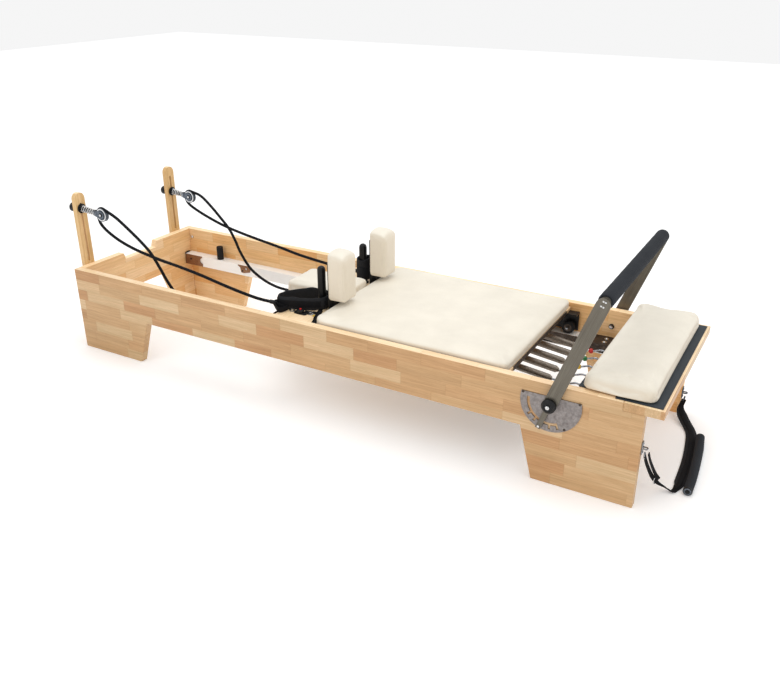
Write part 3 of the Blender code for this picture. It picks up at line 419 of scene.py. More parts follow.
class Shape:
    """Collects mesh parts, each with its own finish, into one piece."""

    def __init__(self):
        self.work = bmesh.new()
        self.map = self.work.loops.layers.uv.new("along")
        self.finishes = []

    def index(self, finish):
        if finish not in self.finishes:
            self.finishes.append(finish)
        return self.finishes.index(finish)

    def skin(self, rings, finish, cyclic, lengths):
        """Quads between successive rings of points, mapped by their lengths round and along."""
        number = self.index(finish)
        made = [[self.work.verts.new(p) for p in ring] for ring in rings]
        pairs = list(zip(range(len(made)), range(1, len(made))))
        if cyclic:
            pairs.append((len(made) - 1, 0))
        around, along = lengths
        count = len(made[0])
        for a, b in pairs:
            near, far = along[a], along[a + 1]
            for i in range(count):
                j = (i + 1) % count
                face = self.work.faces.new((made[a][i], made[a][j], made[b][j], made[b][i]))
                face.material_index = number
                spots = ((around[i], near), (around[i + 1], near), (around[i + 1], far), (around[i], far))
                for loop, spot in zip(face.loops, spots):
                    loop[self.map].uv = spot
        if not cyclic:
            for ring in (made[0], made[-1]):
                self.work.faces.new(ring).material_index = number
        return self

    def lathe(self, profile, place, finish, steps=32, closed=False):
        """A profile of (radius, height) turned round a place's local Z."""
        number = self.index(finish)
        rings = []
        for radius, height in profile:
            if radius < 1e-6:
                rings.append([self.work.verts.new(place @ Vector((0, 0, height)))])
                continue
            ring = []
            for step in range(steps):
                angle = 2 * math.pi * step / steps
                spot = Vector((radius * math.cos(angle), radius * math.sin(angle), height))
                ring.append(self.work.verts.new(place @ spot))
            rings.append(ring)
        pairs = list(zip(rings, rings[1:]))
        if closed:
            pairs.append((rings[-1], rings[0]))
        for low, high in pairs:
            for i in range(steps):
                j = (i + 1) % steps
                corners = [low[i % len(low)], low[j % len(low)], high[j % len(high)], high[i % len(high)]]
                corners = list(dict.fromkeys(corners))
                if len(corners) > 2:
                    self.work.faces.new(corners).material_index = number
        return self

    def prism(self, outline, thickness, place, finish, edge=0.0):
        """A flat outline with a thickness along its place's local Z, its rims rounded by edge."""
        number = self.index(finish)
        half = thickness / 2
        low = [self.work.verts.new(place @ Vector((x, y, -half))) for x, y in outline]
        high = [self.work.verts.new(place @ Vector((x, y, half))) for x, y in outline]
        faces = [self.work.faces.new(list(reversed(low))), self.work.faces.new(high)]
        count = len(outline)
        for i in range(count):
            j = (i + 1) % count
            faces.append(self.work.faces.new((low[i], low[j], high[j], high[i])))
        for face in faces:
            face.material_index = number
        if edge:
            rims = [e for e in faces[0].edges] + [e for e in faces[1].edges]
            bmesh.ops.bevel(self.work, geom=rims, offset=edge, segments=2, profile=0.5,
                            affect="EDGES", clamp_overlap=True)
        return self

    def sweep(self, points, section, finish, up=None, cyclic=False, scale=None):
        """A section of (side, up) offsets carried along points; scale(share) resizes it.

        up is one direction, or a list with one for each point.
        """
        points = [Vector(p) for p in points]
        count = len(points)
        tangents = []
        for i in range(count):
            before = points[i - 1] if i or cyclic else points[0]
            after = points[(i + 1) % count] if i < count - 1 or cyclic else points[-1]
            tangents.append((after - before).normalized())
        lifts = up if isinstance(up, list) else None
        lift = Vector(up) if up and not lifts else Vector((0, 0, 1))
        if not up and abs(tangents[0].z) > 0.9:
            lift = Vector((0, 1, 0))
        rings, along, travelled = [], [0.0], 0.0
        for i, (point, tangent) in enumerate(zip(points, tangents)):
            if lifts:
                lift = lifts[i]
            side = tangent.cross(lift).normalized()
            normal = side.cross(tangent).normalized()
            if not up:
                lift = normal
            size = scale(i / max(1, count - 1)) if scale else 1.0
            wide, high = size if isinstance(size, tuple) else (size, size)
            rings.append([point + side * a * wide + normal * b * high for a, b in section])
            if i:
                travelled += (point - points[i - 1]).length
                along.append(travelled)
        along.append(travelled + (points[0] - points[-1]).length)
        around = [0.0]
        for (a, b), (c, d) in zip(section, section[1:] + section[:1]):
            around.append(around[-1] + math.hypot(c - a, d - b))
        return self.skin(rings, finish, cyclic, (around, along))

    def rod(self, start, end, radius, finish, steps=16, edge=0.0):
        """A round bar between two points."""
        start, end = Vector(start), Vector(end)
        turn = (end - start).to_track_quat("Z", "Y").to_matrix().to_4x4()
        length = (end - start).length
        if edge:
            profile = [(0, 0), (radius - edge, 0), (radius, edge), (radius, length - edge),
                       (radius - edge, length), (0, length)]
        else:
            profile = disc(radius, 0, length)
        return self.lathe(profile, Matrix.Translation(start) @ turn, finish, steps)

    def bolt(self, place, radius, finish="bright_steel", washer=0.0, height=None, socket=True):
        """A round head that stands on a place, with an optional washer and a hexagon socket."""
        height = height or radius * 0.55
        base = 0.0
        if washer:
            base = 0.0012
            self.lathe(disc(washer, 0, base), place, finish, 28)
        dome = [(0, base), (radius, base), (radius, base + height * 0.45),
                (radius * 0.82, base + height * 0.85), (radius * 0.55, base + height)]
        if socket:
            dome += [(radius * 0.42, base + height), (radius * 0.4, base + height * 0.45),
                     (0, base + height * 0.4)]
        else:
            dome += [(0, base + height * 1.02)]
        return self.lathe(dome, place, finish, 24)

    def hexagon(self, place, across, height, finish="bright_steel"):
        """A hexagon nut or bolt head that stands on a place."""
        corner = across / math.sqrt(3)
        return self.prism(arc((0, 0), corner, 0, 300, 5), height,
                          place @ Matrix.Translation((0, 0, height / 2)), finish, height * 0.12)

    def done(self, name, body, replaced=(), sharp=35):
        """Makes the piece, gives it its slot and makes it ride on a CAD body."""
        bmesh.ops.remove_doubles(self.work, verts=self.work.verts, dist=0.00001)
        bmesh.ops.recalc_face_normals(self.work, faces=self.work.faces)
        mesh = bpy.data.meshes.new(name)
        self.work.to_mesh(mesh)
        self.work.free()
        for finish in self.finishes:
            mesh.materials.append(LOOK[finish])
        return settle(name, mesh, body, replaced, sharp)


def settle(name, mesh, body, replaced=(), sharp=35):
    """Links a finished mesh, shades it and hands it to the frame."""
    mesh.shade_smooth()
    mesh.set_sharp_from_angle(angle=math.radians(sharp))
    thing = bpy.data.objects.new(name, mesh)
    bpy.context.scene.collection.objects.link(thing)
    if replaced:
        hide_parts(*replaced)
    if body:
        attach(thing, body)
    return thing


def circle(radius, steps):
    """A full circle as a section."""
    return arc((0, 0), radius, 0, 360 - 360 / steps, steps - 1)


def disc(radius, low, high):
    """A plain disc's profile between two heights."""
    return [(0, low), (radius, low), (radius, high), (0, high)]


def flat_section(width, thickness):
    """A band's section, its width up and its thickness sideways, with round edges."""
    return rounded_rectangle((-thickness / 2, -width / 2), (thickness / 2, width / 2),
                             thickness * 0.49, 3)


# ---------------------------------------------------------------- upholstery

def loft(low, high, plan_radius, rim, upright_pad=False):
    """A closed pad form between two corners: round in plan, with a low rim and a soft top rim."""
    work = bmesh.new()
    low, high = Vector(low), Vector(high)
    if upright_pad:
        low = Vector((low.y, low.z, low.x))
        high = Vector((high.y, high.z, high.x))
    bottom_rim, top_rim = rim
    levels = []
    for step in range(5):
        angle = math.radians(90 * step / 4)
        levels.append((bottom_rim * (1 - math.sin(angle)), low.z + bottom_rim * (1 - math.cos(angle))))
    for step in range(9):
        angle = math.radians(90 * step / 8)
        levels.append((top_rim * (1 - math.cos(angle)), high.z - top_rim + top_rim * math.sin(angle)))
    rings = []
    for inset, height in levels:
        radius = [max(r - inset * 0.6, 0.003) for r in plan_radius]
        outline = rounded_rectangle((low.x + inset, low.y + inset), (high.x - inset, high.y - inset),
                                    radius, 6)
        rings.append([work.verts.new((x, y, height)) for x, y in outline])
    for a, b in zip(rings, rings[1:]):
        for i in range(len(a)):
            j = (i + 1) % len(a)
            work.faces.new((a[i], a[j], b[j], b[i]))
    work.faces.new(list(reversed(rings[0])))
    work.faces.new(rings[-1])
    if upright_pad:
        for vertex in work.verts:
            vertex.co = Vector((vertex.co.z, vertex.co.x, vertex.co.y))
    bmesh.ops.recalc_face_normals(work, faces=work.faces)
    return work


PAD_MARGIN = 0.003
PAD_PRESSURE = 4.0
SWELL_FRAMES = 20


def applied(thing):
    """Replaces an object's mesh by what its modifiers make of it."""
    bpy.context.view_layer.update()
    graph = bpy.context.evaluated_depsgraph_get()
    mesh = bpy.data.meshes.new_from_object(thing.evaluated_get(graph))
    thing.modifiers.clear()
    old, thing.data = thing.data, mesh
    bpy.data.meshes.remove(old)
    return thing


def swell(thing, pinned, cap):
    """Blows a pad up by a short cloth simulation, moving no point further than cap."""
    start = [v.co.copy() for v in thing.data.vertices]
    group = thing.vertex_groups.new(name="pinned")
    group.add([i for i, p in enumerate(start) if pinned(p)], 1.0, "REPLACE")
    cloth = thing.modifiers.new("swell", "CLOTH")
    cloth.settings.quality = 5
    cloth.settings.use_pressure = True
    cloth.settings.uniform_pressure_force = PAD_PRESSURE
    cloth.settings.vertex_group_mass = "pinned"
    cloth.settings.effector_weights.gravity = 0.0
    cloth.settings.bending_stiffness = 0.6
    cloth.point_cache.frame_start = 1
    cloth.point_cache.frame_end = SWELL_FRAMES
    scene = bpy.context.scene
    for step in range(1, SWELL_FRAMES + 1):
        scene.frame_set(step)
    graph = bpy.context.evaluated_depsgraph_get()
    swollen = thing.evaluated_get(graph).data
    moved = []
    for vertex, first in zip(swollen.vertices, start):
        shift = vertex.co - first
        moved.append(first + shift * min(1.0, cap / max(shift.length, 1e-9)))
    thing.modifiers.clear()
    for vertex, place in zip(thing.data.vertices, moved):
        vertex.co = place
    thing.vertex_groups.clear()
    scene.frame_set(1)


def fit(thing, low, high):
    """Scales a pad's points so that it fills a box."""
    points = [v.co for v in thing.data.vertices]
    for axis in range(3):
        least = min(p[axis] for p in points)
        most = max(p[axis] for p in points)
        for p in points:
            p[axis] = low[axis] + (p[axis] - least) * (high[axis] - low[axis]) / (most - least)


def groove(thing, lines, depth, width):
    """Presses seams into a pad along lines, pulling the points near them inward."""
    tree = kdtree.KDTree(sum(len(line) for line in lines))
    for number, point in enumerate(p for line in lines for p in line):
        tree.insert(point, number)
    tree.balance()
    normals = [v.normal.copy() for v in thing.data.vertices]
    for vertex, normal in zip(thing.data.vertices, normals):
        distance = tree.find(vertex.co)[2]
        if distance < 3 * width:
            vertex.co -= normal * depth * math.exp(-(distance / width) ** 2)


def pad(name, node, body, plan_radius, rim, voxel, cap, upright_pad=False, shape=None, relax_steps=4):
    """An upholstered pad that fills its CAD solid's box: swollen by simulation, then subdivided."""
    low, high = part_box(node)
    inner = Vector((PAD_MARGIN, PAD_MARGIN, PAD_MARGIN))
    work = loft(low + inner, high - inner, plan_radius, rim, upright_pad)
    mesh = bpy.data.meshes.new(name)
    work.to_mesh(mesh)
    work.free()
    thing = bpy.data.objects.new(name, mesh)
    bpy.context.scene.collection.objects.link(thing)
    if shape:
        shape(thing, low, high)
    remesh = thing.modifiers.new("even", "REMESH")
    remesh.mode = "VOXEL"
    remesh.voxel_size = voxel
    applied(thing)
    relax = thing.modifiers.new("relax", "SMOOTH")
    relax.iterations = relax_steps
    applied(thing)
    axis = 0 if upright_pad else 2
    rest = low[axis] + 2 * PAD_MARGIN
    swell(thing, lambda p: p[axis] < rest, cap)
    fit(thing, low, high)
    finer = thing.modifiers.new("finer", "SUBSURF")
    finer.levels = finer.render_levels = 1
    applied(thing)
    fit(thing, low, high)
    thing.data.materials.clear()
    thing.data.materials.append(LOOK["leatherette"])
    thing.data.shade_smooth()
    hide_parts(node)
    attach(thing, body)
    return thing


def ripple(thing, scale, depth, only=None):
    """Soft hollows and swells over a pad, as a filling makes."""
    normals = [v.normal.copy() for v in thing.data.vertices]
    for vertex, normal in zip(thing.data.vertices, normals):
        share = only(vertex.co) if only else 1.0
        if share > 0:
            vertex.co += normal * depth * share * noise.noise(vertex.co * scale)


def carriage_mat():
    low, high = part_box("carriage_mat")

    def inside(p):
        edge = min(p.x - low.x, high.x - p.x, p.y - low.y, high.y - p.y)
        return min(1.0, max(0.0, edge / 0.06)) if p.z > high.z - 0.012 else 0.0

    mat = pad("mat_cushion", "carriage_mat", "carriage", [0.046, 0.02, 0.02, 0.046],
              (0.005, 0.013), 0.0065, 0.005)
    ripple(mat, 7.0, -0.0016, inside)
    ripple(mat, 22.0, 0.0004, inside)


def headrest():
    pad("headrest_cushion", "headrest", "headrest", [0.024, 0.01, 0.01, 0.024], (0.004, 0.013),
        0.0042, 0.003)


def platform_pad():
    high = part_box("platform_pad")[1]
    thing = pad("platform_cushion", "platform_pad", "platform_pad", [0.026] * 4, (0.005, 0.021),
                0.005, 0.006)

    def inside(p):
        return 1.0 if p.z > high.z - 0.02 else 0.0

    ripple(thing, 9.0, 0.0008, inside)


def shoulder_pads():
    """Block pads with a crowned top, a fold down each front corner and a soft bottom edge."""
    for side in SIDES:
        node = f"{side}_shoulder_pad"
        low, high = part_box(node)
        middle = (low + high) / 2
        half = (high - low) / 2

        def crowned(thing, low, high):
            cut = thing.modifiers.new("cut", "REMESH")
            cut.mode = "VOXEL"
            cut.voxel_size = 0.0045
            applied(thing)
            for vertex in thing.data.vertices:
                p = vertex.co
                u = abs(p.y - middle.y) / half.y
                v = max(0.0, p.x - middle.x) / half.x
                rise = max(0.0, (p.z - (high.z - 0.045)) / 0.045)
                drop = 0.011 * min(1.4, u ** 2.0 + v ** 2.0)
                p.z -= rise * drop
                pull = rise ** 2 * 0.06
                p.y += (middle.y - p.y) * pull
                p.x -= max(0.0, p.x - low.x) * pull

        thing = pad(f"{side}_shoulder_cushion", node, f"{side}_shoulder_rest",
                    [0.012, 0.012, 0.008, 0.008], (0.003, 0.005), 0.0038, 0.0016,
                    upright_pad=True, shape=crowned, relax_steps=2)
        seams = []
        for face in (-1, 1):
            y = middle.y + face * (half.y - 0.004)
            x = high.x - 0.005
            fork = Vector((x - 0.001, y - face * 0.001, high.z - 0.048))
            foot = Vector((x, y, low.z + 0.008))
            up_side = Vector((low.x + 0.014, y, high.z - 0.026))
            up_front = Vector((x, middle.y + face * 0.006, high.z - 0.026))
            for a, b in ((foot, fork), (fork, up_side), (fork, up_front)):
                seams.append([a.lerp(b, i / 40) for i in range(41)])
        groove(thing, seams, 0.0024, 0.0024)


# ---------------------------------------------------------------- wooden frame

QUADRANT_SCREWS = ((1.976, 0.308), (2.156, 0.309), (2.039, 0.2015), (2.116, 0.21))
CORNER_BOLTS = ((0.045, 0.312), (0.045, 0.205))
RISER_BOLTS_Z = (0.215, 0.32)
RISER_OUTSIDE = HEAD - 0.0304
RAIL_FACE = 0.2681
RAIL_MIDDLE = 0.284
RAIL_WEB = (0.1905, 0.2395)
PLATE = 0.003
PLATE_AND_SHADOW_STRIP_ENDS = (HEAD + 1.64, HEAD + 2.12)
RAIL_BOLTS = ((0.069, 0.219, 0.0048, 0.002, "black_plastic"),
              (0.378, 0.213, 0.0042, 0.0022, "black_plastic"),
              (0.4, 0.226, 0.004, 0.0022, "bright_steel"))
BAR_PLATE_TOP = 0.2452


def frame_details():
    """The screws, bolts and plates on the frame, the same on both sides."""
    for side, sign in SIDES.items():
        screws = Shape()
        for x, z in QUADRANT_SCREWS:
            screws.bolt(facing_y(HEAD + x, sign * (PANEL_OUTSIDE + 0.0034), z, sign), 0.0042,
                        "bracket_steel", height=0.0016)
        screws.done(f"{side}_quadrant_screws", "frame")
        bolts = Shape()
        for x, z in CORNER_BOLTS:
            bolts.bolt(facing_y(HEAD + x, sign * PANEL_INSIDE, z, -sign), 0.0055, washer=0.009)
        bolts.done(f"{side}_corner_bolts", "frame")
        rail_plates(side, sign)
        bolts = Shape()
        for z in RISER_BOLTS_Z:
            bolts.bolt(facing_x(RISER_OUTSIDE, sign * RISER_Y, z, -1), 0.0065, "bright_steel", 0.0105)
        bolts.done(f"{side}_riser_bolts", "frame")


def rail_plates(side, sign):
    """The plates on a rail's web, a dark strip there that is partly a plate and partly painted shadow, a
    black piece at its end that is a painted shadow gap against the head panel, and the bar plate's bolts.
    """
    low, high = RAIL_WEB
    inner, outer = HEAD + 0.036, HEAD + 0.137
    bite = arc((outer, 0.2185), 0.0145, 90, 270, 10)
    head = [(outer, low), (outer, 0.204)] + bite[::-1] + [(outer, high), (inner, high), (inner, low)]
    bracket = [(HEAD + x, z) for x, z in ((0.352, 0.236), (0.366, 0.228), (0.369, 0.205), (0.384, 0.203),
                                          (0.42, 0.212), (0.424, high), (0.352, high))]
    place = upright(0, sign * RAIL_FACE, 0)
    plates = Shape()
    for outline in (head, bracket):
        plates.prism(outline, PLATE, place, "rail_plate", 0.0005)
    for x, z, radius, height, finish in RAIL_BOLTS:
        head = facing_y(HEAD + x, sign * (RAIL_FACE - 0.0014), z, -sign)
        plates.bolt(head, radius, finish, height=height)
    # Painted shadow: a thin black piece stands for the dark gap between the rail's end and the head panel.
    shadow_gap = rounded_rectangle((HEAD + 0.0325, 0.1895), (HEAD + 0.0362, 0.2465), 0.001, 2)
    plates.prism(shadow_gap, 0.03, upright(0, sign * RAIL_MIDDLE, 0), "black_rubber", 0.0006)
    # The dark strip is partly a plate and partly a painted shadow on the rail's web.
    start, end = PLATE_AND_SHADOW_STRIP_ENDS
    strip = rounded_rectangle((start, 0.201), (end, 0.2392), 0.0015, 2)
    plates.prism(strip, PLATE, place, "bracket_steel", 0.0005)
    lip = rounded_rectangle((start, 0.195), (end, 0.202), 0.001, 2)
    plates.prism(lip, PLATE + 0.001, place, "black_rubber", 0.0004)
    plates.done(f"{side}_rail_end_plates", "frame")
    bolts = Shape()
    for reach in (0.288, 0.257):
        place = Matrix.Translation((HEAD + 2.06, sign * reach, BAR_PLATE_TOP))
        bolts.bolt(place, 0.0055, "bright_steel", 0.0085)
    bolts.done(f"{side}_bar_plate_bolts", "frame")


# ---------------------------------------------------------------- footbar

def along_arm(distance, offset=0.0):
    """A point (x, z) that far along the footbar's arm from its pivot."""
    x = PIVOT[0] + distance * math.sin(ARM_LEAN) + offset * math.cos(ARM_LEAN)
    z = PIVOT[1] + distance * math.cos(ARM_LEAN) - offset * math.sin(ARM_LEAN)
    return x, z


def footbar():
    bar_x, bar_z = along_arm(ARM_LENGTH)
    low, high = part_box("footbar_grip")
    grip = Shape()
    radius = (high.z - low.z) / 2
    half = high.y
    profile = [(0.0166, half - 0.0006), (radius - 0.006, half - 0.0004), (radius - 0.0022, half - 0.0018),
               (radius - 0.0003, half - 0.006)]
    for step in range(1, 40):
        y = (half - 0.006) * (1 - 2 * step / 40)
        profile.append((radius - 0.00025 + 0.00025 * math.sin(step * 1.7), y))
    profile += [(radius - 0.0003, 0.006 - half), (radius - 0.0022, 0.0018 - half),
                (radius - 0.006, 0.0004 - half), (0.0166, 0.0006 - half)]
    grip.lathe(profile, facing_y(bar_x, 0, bar_z), "foam", 48, closed=True)
    grip.done("footbar_foam", "footbar", ["footbar_grip"])
    for side, sign in SIDES.items():
        fixings = Shape()
        outside = sign * (ARM_OUTSIDE + 0.0001)
        for distance in (ARM_LENGTH + 0.005, ARM_LENGTH - 0.011):
            for offset in (-0.0035, 0.0035):
                x, z = along_arm(distance, offset)
                fixings.bolt(facing_y(x, outside, z, sign), 0.003, "bright_steel", height=0.0016,
                             socket=False)
        x, z = along_arm(-0.086)
        fixings.rod((x, sign * (PANEL_OUTSIDE + 0.0045), z), (x, outside + sign * 0.003, z), 0.0042,
                    "bright_steel", 16, 0.0006)
        fixings.done(f"{side}_arm_rivets", "footbar")
        cap = Shape()
        face = sign * (ARM_OUTSIDE + 0.0003 + 0.0141)
        place = facing_y(PIVOT[0], face, PIVOT[1], sign)
        cap.lathe([(0.0115, -0.0004), (0.0135, 0.0014), (0.015, 0.0014), (0.0165, -0.0004)], place,
                  "black_plastic", 32, closed=True)
        cap.hexagon(place, 0.013, 0.0052)
        cap.lathe([(0, 0.0052), (0.0034, 0.0052), (0.0034, 0.0075), (0.0026, 0.0082), (0, 0.0082)],
                  place, "bright_steel", 20)
        inside = facing_y(PIVOT[0], sign * (PANEL_INSIDE - 0.0067), PIVOT[1], -sign)
        cap.hexagon(inside, 0.013, 0.004)
        cap.done(f"{side}_pivot_bolt", f"{side}_pivot_knob")


# ---------------------------------------------------------------- pulleys

WHEEL_HALF = 0.008
WHEEL_RADIUS = 0.028
WHEEL_BORE = 0.0042
WHEEL_HOLLOW = 0.0016
COIL_START = 0.0085
COIL_TURNS = 6
BRIDGE_BACK = 0.0445
CHEEK_AT = 0.0098
CHEEK_OUTSIDE = 0.0108
KNOB_LOBES = 7


def pulleys():
    for side, sign in SIDES.items():
        pulley_fork(side, sign * RISER_Y)
        pulley_wheel(side, sign * RISER_Y)
        knob_grip(side)


def pulley_fork(side, y):
    """The clamp's washer, a tapered damping coil and the fork with its two cheeks."""
    z = CLAMP_Z[side]
    x_wheel, z_wheel = SHEAVE[side]
    tilt = math.atan2(z - z_wheel, x_wheel - HEAD)
    reach = math.hypot(x_wheel - HEAD, z - z_wheel)
    along = Matrix.Translation((HEAD, y, z)) @ Matrix.Rotation(tilt, 4, "Y")
    lying = along @ Matrix.Rotation(math.radians(90), 4, "Y")
    clamp = facing_x(HEAD, y, z)
    block = Shape()
    block.lathe([(0, 0.0005), (0.019, 0.0005), (0.0196, 0.0018), (0.0196, 0.0052), (0.0185, 0.0064),
                 (0.0165, 0.0064), (0.0155, 0.005), (0, 0.005)], clamp, "black_rubber", 36)
    block.lathe(disc(0.014, 0.005, 0.0066), clamp, "worn_chrome", 32)
    block.rod((HEAD - 0.044, y, z), (HEAD + 0.012, y, z), 0.0034, "bright_steel", 16)
    end = reach - 0.046
    steps = COIL_TURNS * 18
    coil = []
    for i in range(steps + 1):
        share = i / steps
        angle = 2 * math.pi * COIL_TURNS * share
        radius = 0.0122 - 0.0026 * share
        level = COIL_START + (end - COIL_START) * share
        coil.append(lying @ Vector((radius * math.cos(angle), radius * math.sin(angle), level)))
    block.sweep(coil, circle(0.0021, 8), "bright_steel")
    block.lathe([(0, COIL_START - 0.002), (0.0092, COIL_START - 0.002), (0.0066, end + 0.004),
                 (0, end + 0.004)], lying, "black_rubber", 16)
    bridge = reach - BRIDGE_BACK
    block.lathe([(0, bridge - 0.004), (0.0085, bridge - 0.004), (0.0092, bridge - 0.003),
                 (0.0092, bridge - 0.0005), (0, bridge - 0.0005)], lying, "worn_chrome", 24)
    strap = [(bridge, 0.0), (bridge, 0.0075), (bridge + 0.0022, CHEEK_AT), (bridge + 0.012, CHEEK_AT)]
    outline = arc((0, 0), 0.0172, -105, 105, 24) + [(-0.036, 0.0098), (-0.036, -0.0098)]
    lift = along.to_3x3() @ UP
    for face in (-1, 1):
        fork = smooth_route([along @ Vector((a, face * b, 0)) for a, b in strap], 0.003)
        block.sweep(fork, flat_section(0.019, 0.0022), "worn_chrome", up=lift)
        cheek = along @ upright(reach, face * (CHEEK_AT + 0.0001), 0)
        block.prism(outline, 0.0021, cheek, "cheek_steel", 0.0004)
    for face in (-1, 1):
        head = facing_y(x_wheel, y + face * CHEEK_OUTSIDE, z_wheel, face)
        block.lathe([(0, 0), (0.0088, 0), (0.0084, 0.0009), (0, 0.0009)], head, "black_rubber", 28)
        block.hexagon(head @ Matrix.Translation((0, 0, 0.0009)), 0.0098, 0.0026)
    block.rod((x_wheel, y - CHEEK_OUTSIDE, z_wheel), (x_wheel, y + CHEEK_OUTSIDE, z_wheel), 0.0036,
              "bright_steel", 16)
    block.done(f"{side}_pulley_fork", f"{side}_pulley", [f"{side}_pulley_block"])


def pulley_wheel(side, y):
    """The grooved wheel with hollow sides, a steel bush and a bright ring on either face."""
    x, z = SHEAVE[side]
    half, outer = WHEEL_HALF, WHEEL_RADIUS
    face_side = [(WHEEL_BORE, half), (0.0085, half), (0.0095, half - WHEEL_HOLLOW),
                 (0.0185, half - WHEEL_HOLLOW), (0.02, half), (outer - 0.0012, half),
                 (outer, half - 0.001)]
    other_side = [(r, -h) for r, h in reversed(face_side)]
    profile = face_side + arc((ROPE_TURN, 0), 0.0068, 100, 260, 10) + other_side
    wheel = Shape()
    wheel.lathe(profile, facing_y(x, y, z), "sheave_plastic", 48, closed=True)
    for face in (-1, 1):
        place = facing_y(x, y + face * (half - WHEEL_HOLLOW), z, face)
        wheel.lathe([(0.0044, -0.0002), (0.0084, -0.0002), (0.008, 0.0014), (0.0044, 0.0014)], place,
                    "bright_steel", 32, closed=True)
        wheel.lathe([(0.0208, 0.0014), (0.0256, 0.0014), (0.0252, 0.002), (0.0212, 0.002)], place,
                    "bright_steel", 48, closed=True)
    wheel.done(f"{side}_pulley_wheel", f"{side}_sheave", [f"{side}_sheave"])


def knob_grip(side):
    """The lobes round a riser knob and the bolt end in its face."""
    low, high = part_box(f"{side}_riser_knob")
    middle = (low + high) / 2
    lobe = [(0, 0.0065), (0.002, 0.0065), (0.0028, 0.0075), (0.0028, 0.0225), (0.0018, 0.024), (0, 0.0245)]
    grip = Shape()
    for y, z in circle(0.0158, KNOB_LOBES):
        grip.lathe(lobe, facing_x(low.x, middle.y + y, middle.z + z), "black_plastic", 16)
    grip.lathe([(0, -0.0001), (0.006, -0.0001), (0.0056, -0.0012), (0, -0.0014)],
               facing_x(low.x + 0.0013, middle.y, middle.z), "bright_steel", 24)
    grip.done(f"{side}_riser_knob_grip", f"{side}_riser_knob")


# ---------------------------------------------------------------- ropes

NEAR_TO_STRAP = [(0.0955, 0.26, 0.557), (0.106, 0.26, 0.533), (0.14, 0.26, 0.507),
                 (0.201, 0.26, 0.479), (0.282, 0.26, 0.456), (0.4, 0.26, 0.436),
                 (0.5, 0.259, 0.424), (0.611, 0.258, 0.408), (0.755, 0.257, 0.382),
                 (0.88, 0.256, 0.365), (0.968, 0.248, 0.36)]
NEAR_TO_DECK = [(0.19, 0.26, 0.577), (0.238, 0.259, 0.547), (0.309, 0.256, 0.495),
                (0.358, 0.255, 0.452), (0.397, 0.254, 0.396), (0.432, 0.253, 0.34),
                (0.49, 0.25, 0.272), (0.57, 0.247, 0.225), (0.67, 0.244, 0.203),
                (0.78, 0.24, 0.213), (0.88, 0.237, 0.258), (0.95, 0.235, 0.312),
                (0.9812, 0.235, 0.328)]
FAR_TO_STRAP = [(0.0855, 0.26, 0.512), (0.103, 0.259, 0.49), (0.165, 0.255, 0.464),
                (0.259, 0.246, 0.438), (0.346, 0.237, 0.421), (0.473, 0.223, 0.406),
                (0.649, 0.204, 0.39), (0.761, 0.192, 0.378), (0.908, 0.176, 0.371),
                (1.000, 0.166, 0.371), (1.0722, 0.16, 0.372)]
FAR_TO_DECK = [(0.176, 0.257, 0.541), (0.231, 0.253, 0.506), (0.287, 0.249, 0.46),
               (0.336, 0.246, 0.415), (0.368, 0.244, 0.366), (0.395, 0.242, 0.314),
               (0.445, 0.238, 0.252), (0.504, 0.234, 0.217), (0.565, 0.23, 0.197),
               (0.64, 0.225, 0.189), (0.74, 0.221, 0.198), (0.85, 0.215, 0.243),
               (0.94, 0.21, 0.303), (0.9812, 0.208, 0.328)]
LOOP_END = HEAD + 0.3


def rope(side, sign, strap_route, deck_route):
    """One rope in three pieces: round its sheave, and a strand each to the hand strap and the deck."""
    x, z = SHEAVE[side]
    over = arc((x, z), ROPE_TURN, 180, 70, 12)
    route = [(HEAD + px, sign * py, pz) for px, py, pz in reversed(strap_route)]
    route += [(px, sign * RISER_Y, pz) for px, pz in over]
    route += [(HEAD + px, sign * py, pz) for px, py, pz in deck_route]
    points = smooth_route(route, 0.009)
    turn = min(range(len(points)), key=lambda i: points[i].x)
    first = max(i for i in range(turn) if points[i].x > LOOP_END)
    last = min(i for i in range(turn, len(points)) if points[i].x > LOOP_END)
    spans = {"strap_strand": points[:first + 1], "sheave_loop": points[first:last + 1],
             "deck_strand": points[last:]}
    for name, span in spans.items():
        shape = Shape()
        shape.sweep(span, circle(ROPE_RADIUS, 14), "rope")
        thing = shape.done(f"{side}_rope_{name}", None, [f"{side}_rope"])
        if name == "sheave_loop":
            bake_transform(thing)
        else:
            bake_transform(thing)


def ropes():
    rope("near", -1, NEAR_TO_STRAP, NEAR_TO_DECK)
    rope("far", 1, FAR_TO_STRAP, FAR_TO_DECK)


# ---------------------------------------------------------------- springs

SPRING_Y = [0.14, 0.07, 0.0, -0.07, -0.14]
SPRING_COLOUR = ["red", "green", "yellow", "green", "red"]
SPRING_FOOT = (HEAD + 2.000, 0.262)
SPRING_HEAD = (HEAD + 1.62, 0.3076)
SPRING_BAR = (HEAD + 2.118, 0.246)
SPRING_WIRE = 0.0016
SPRING_RADIUS = 0.0122
SPRING_TURNS = 96
BALL = (HEAD + 2.045, 0.2558)
BALL_RADIUS = 0.0092


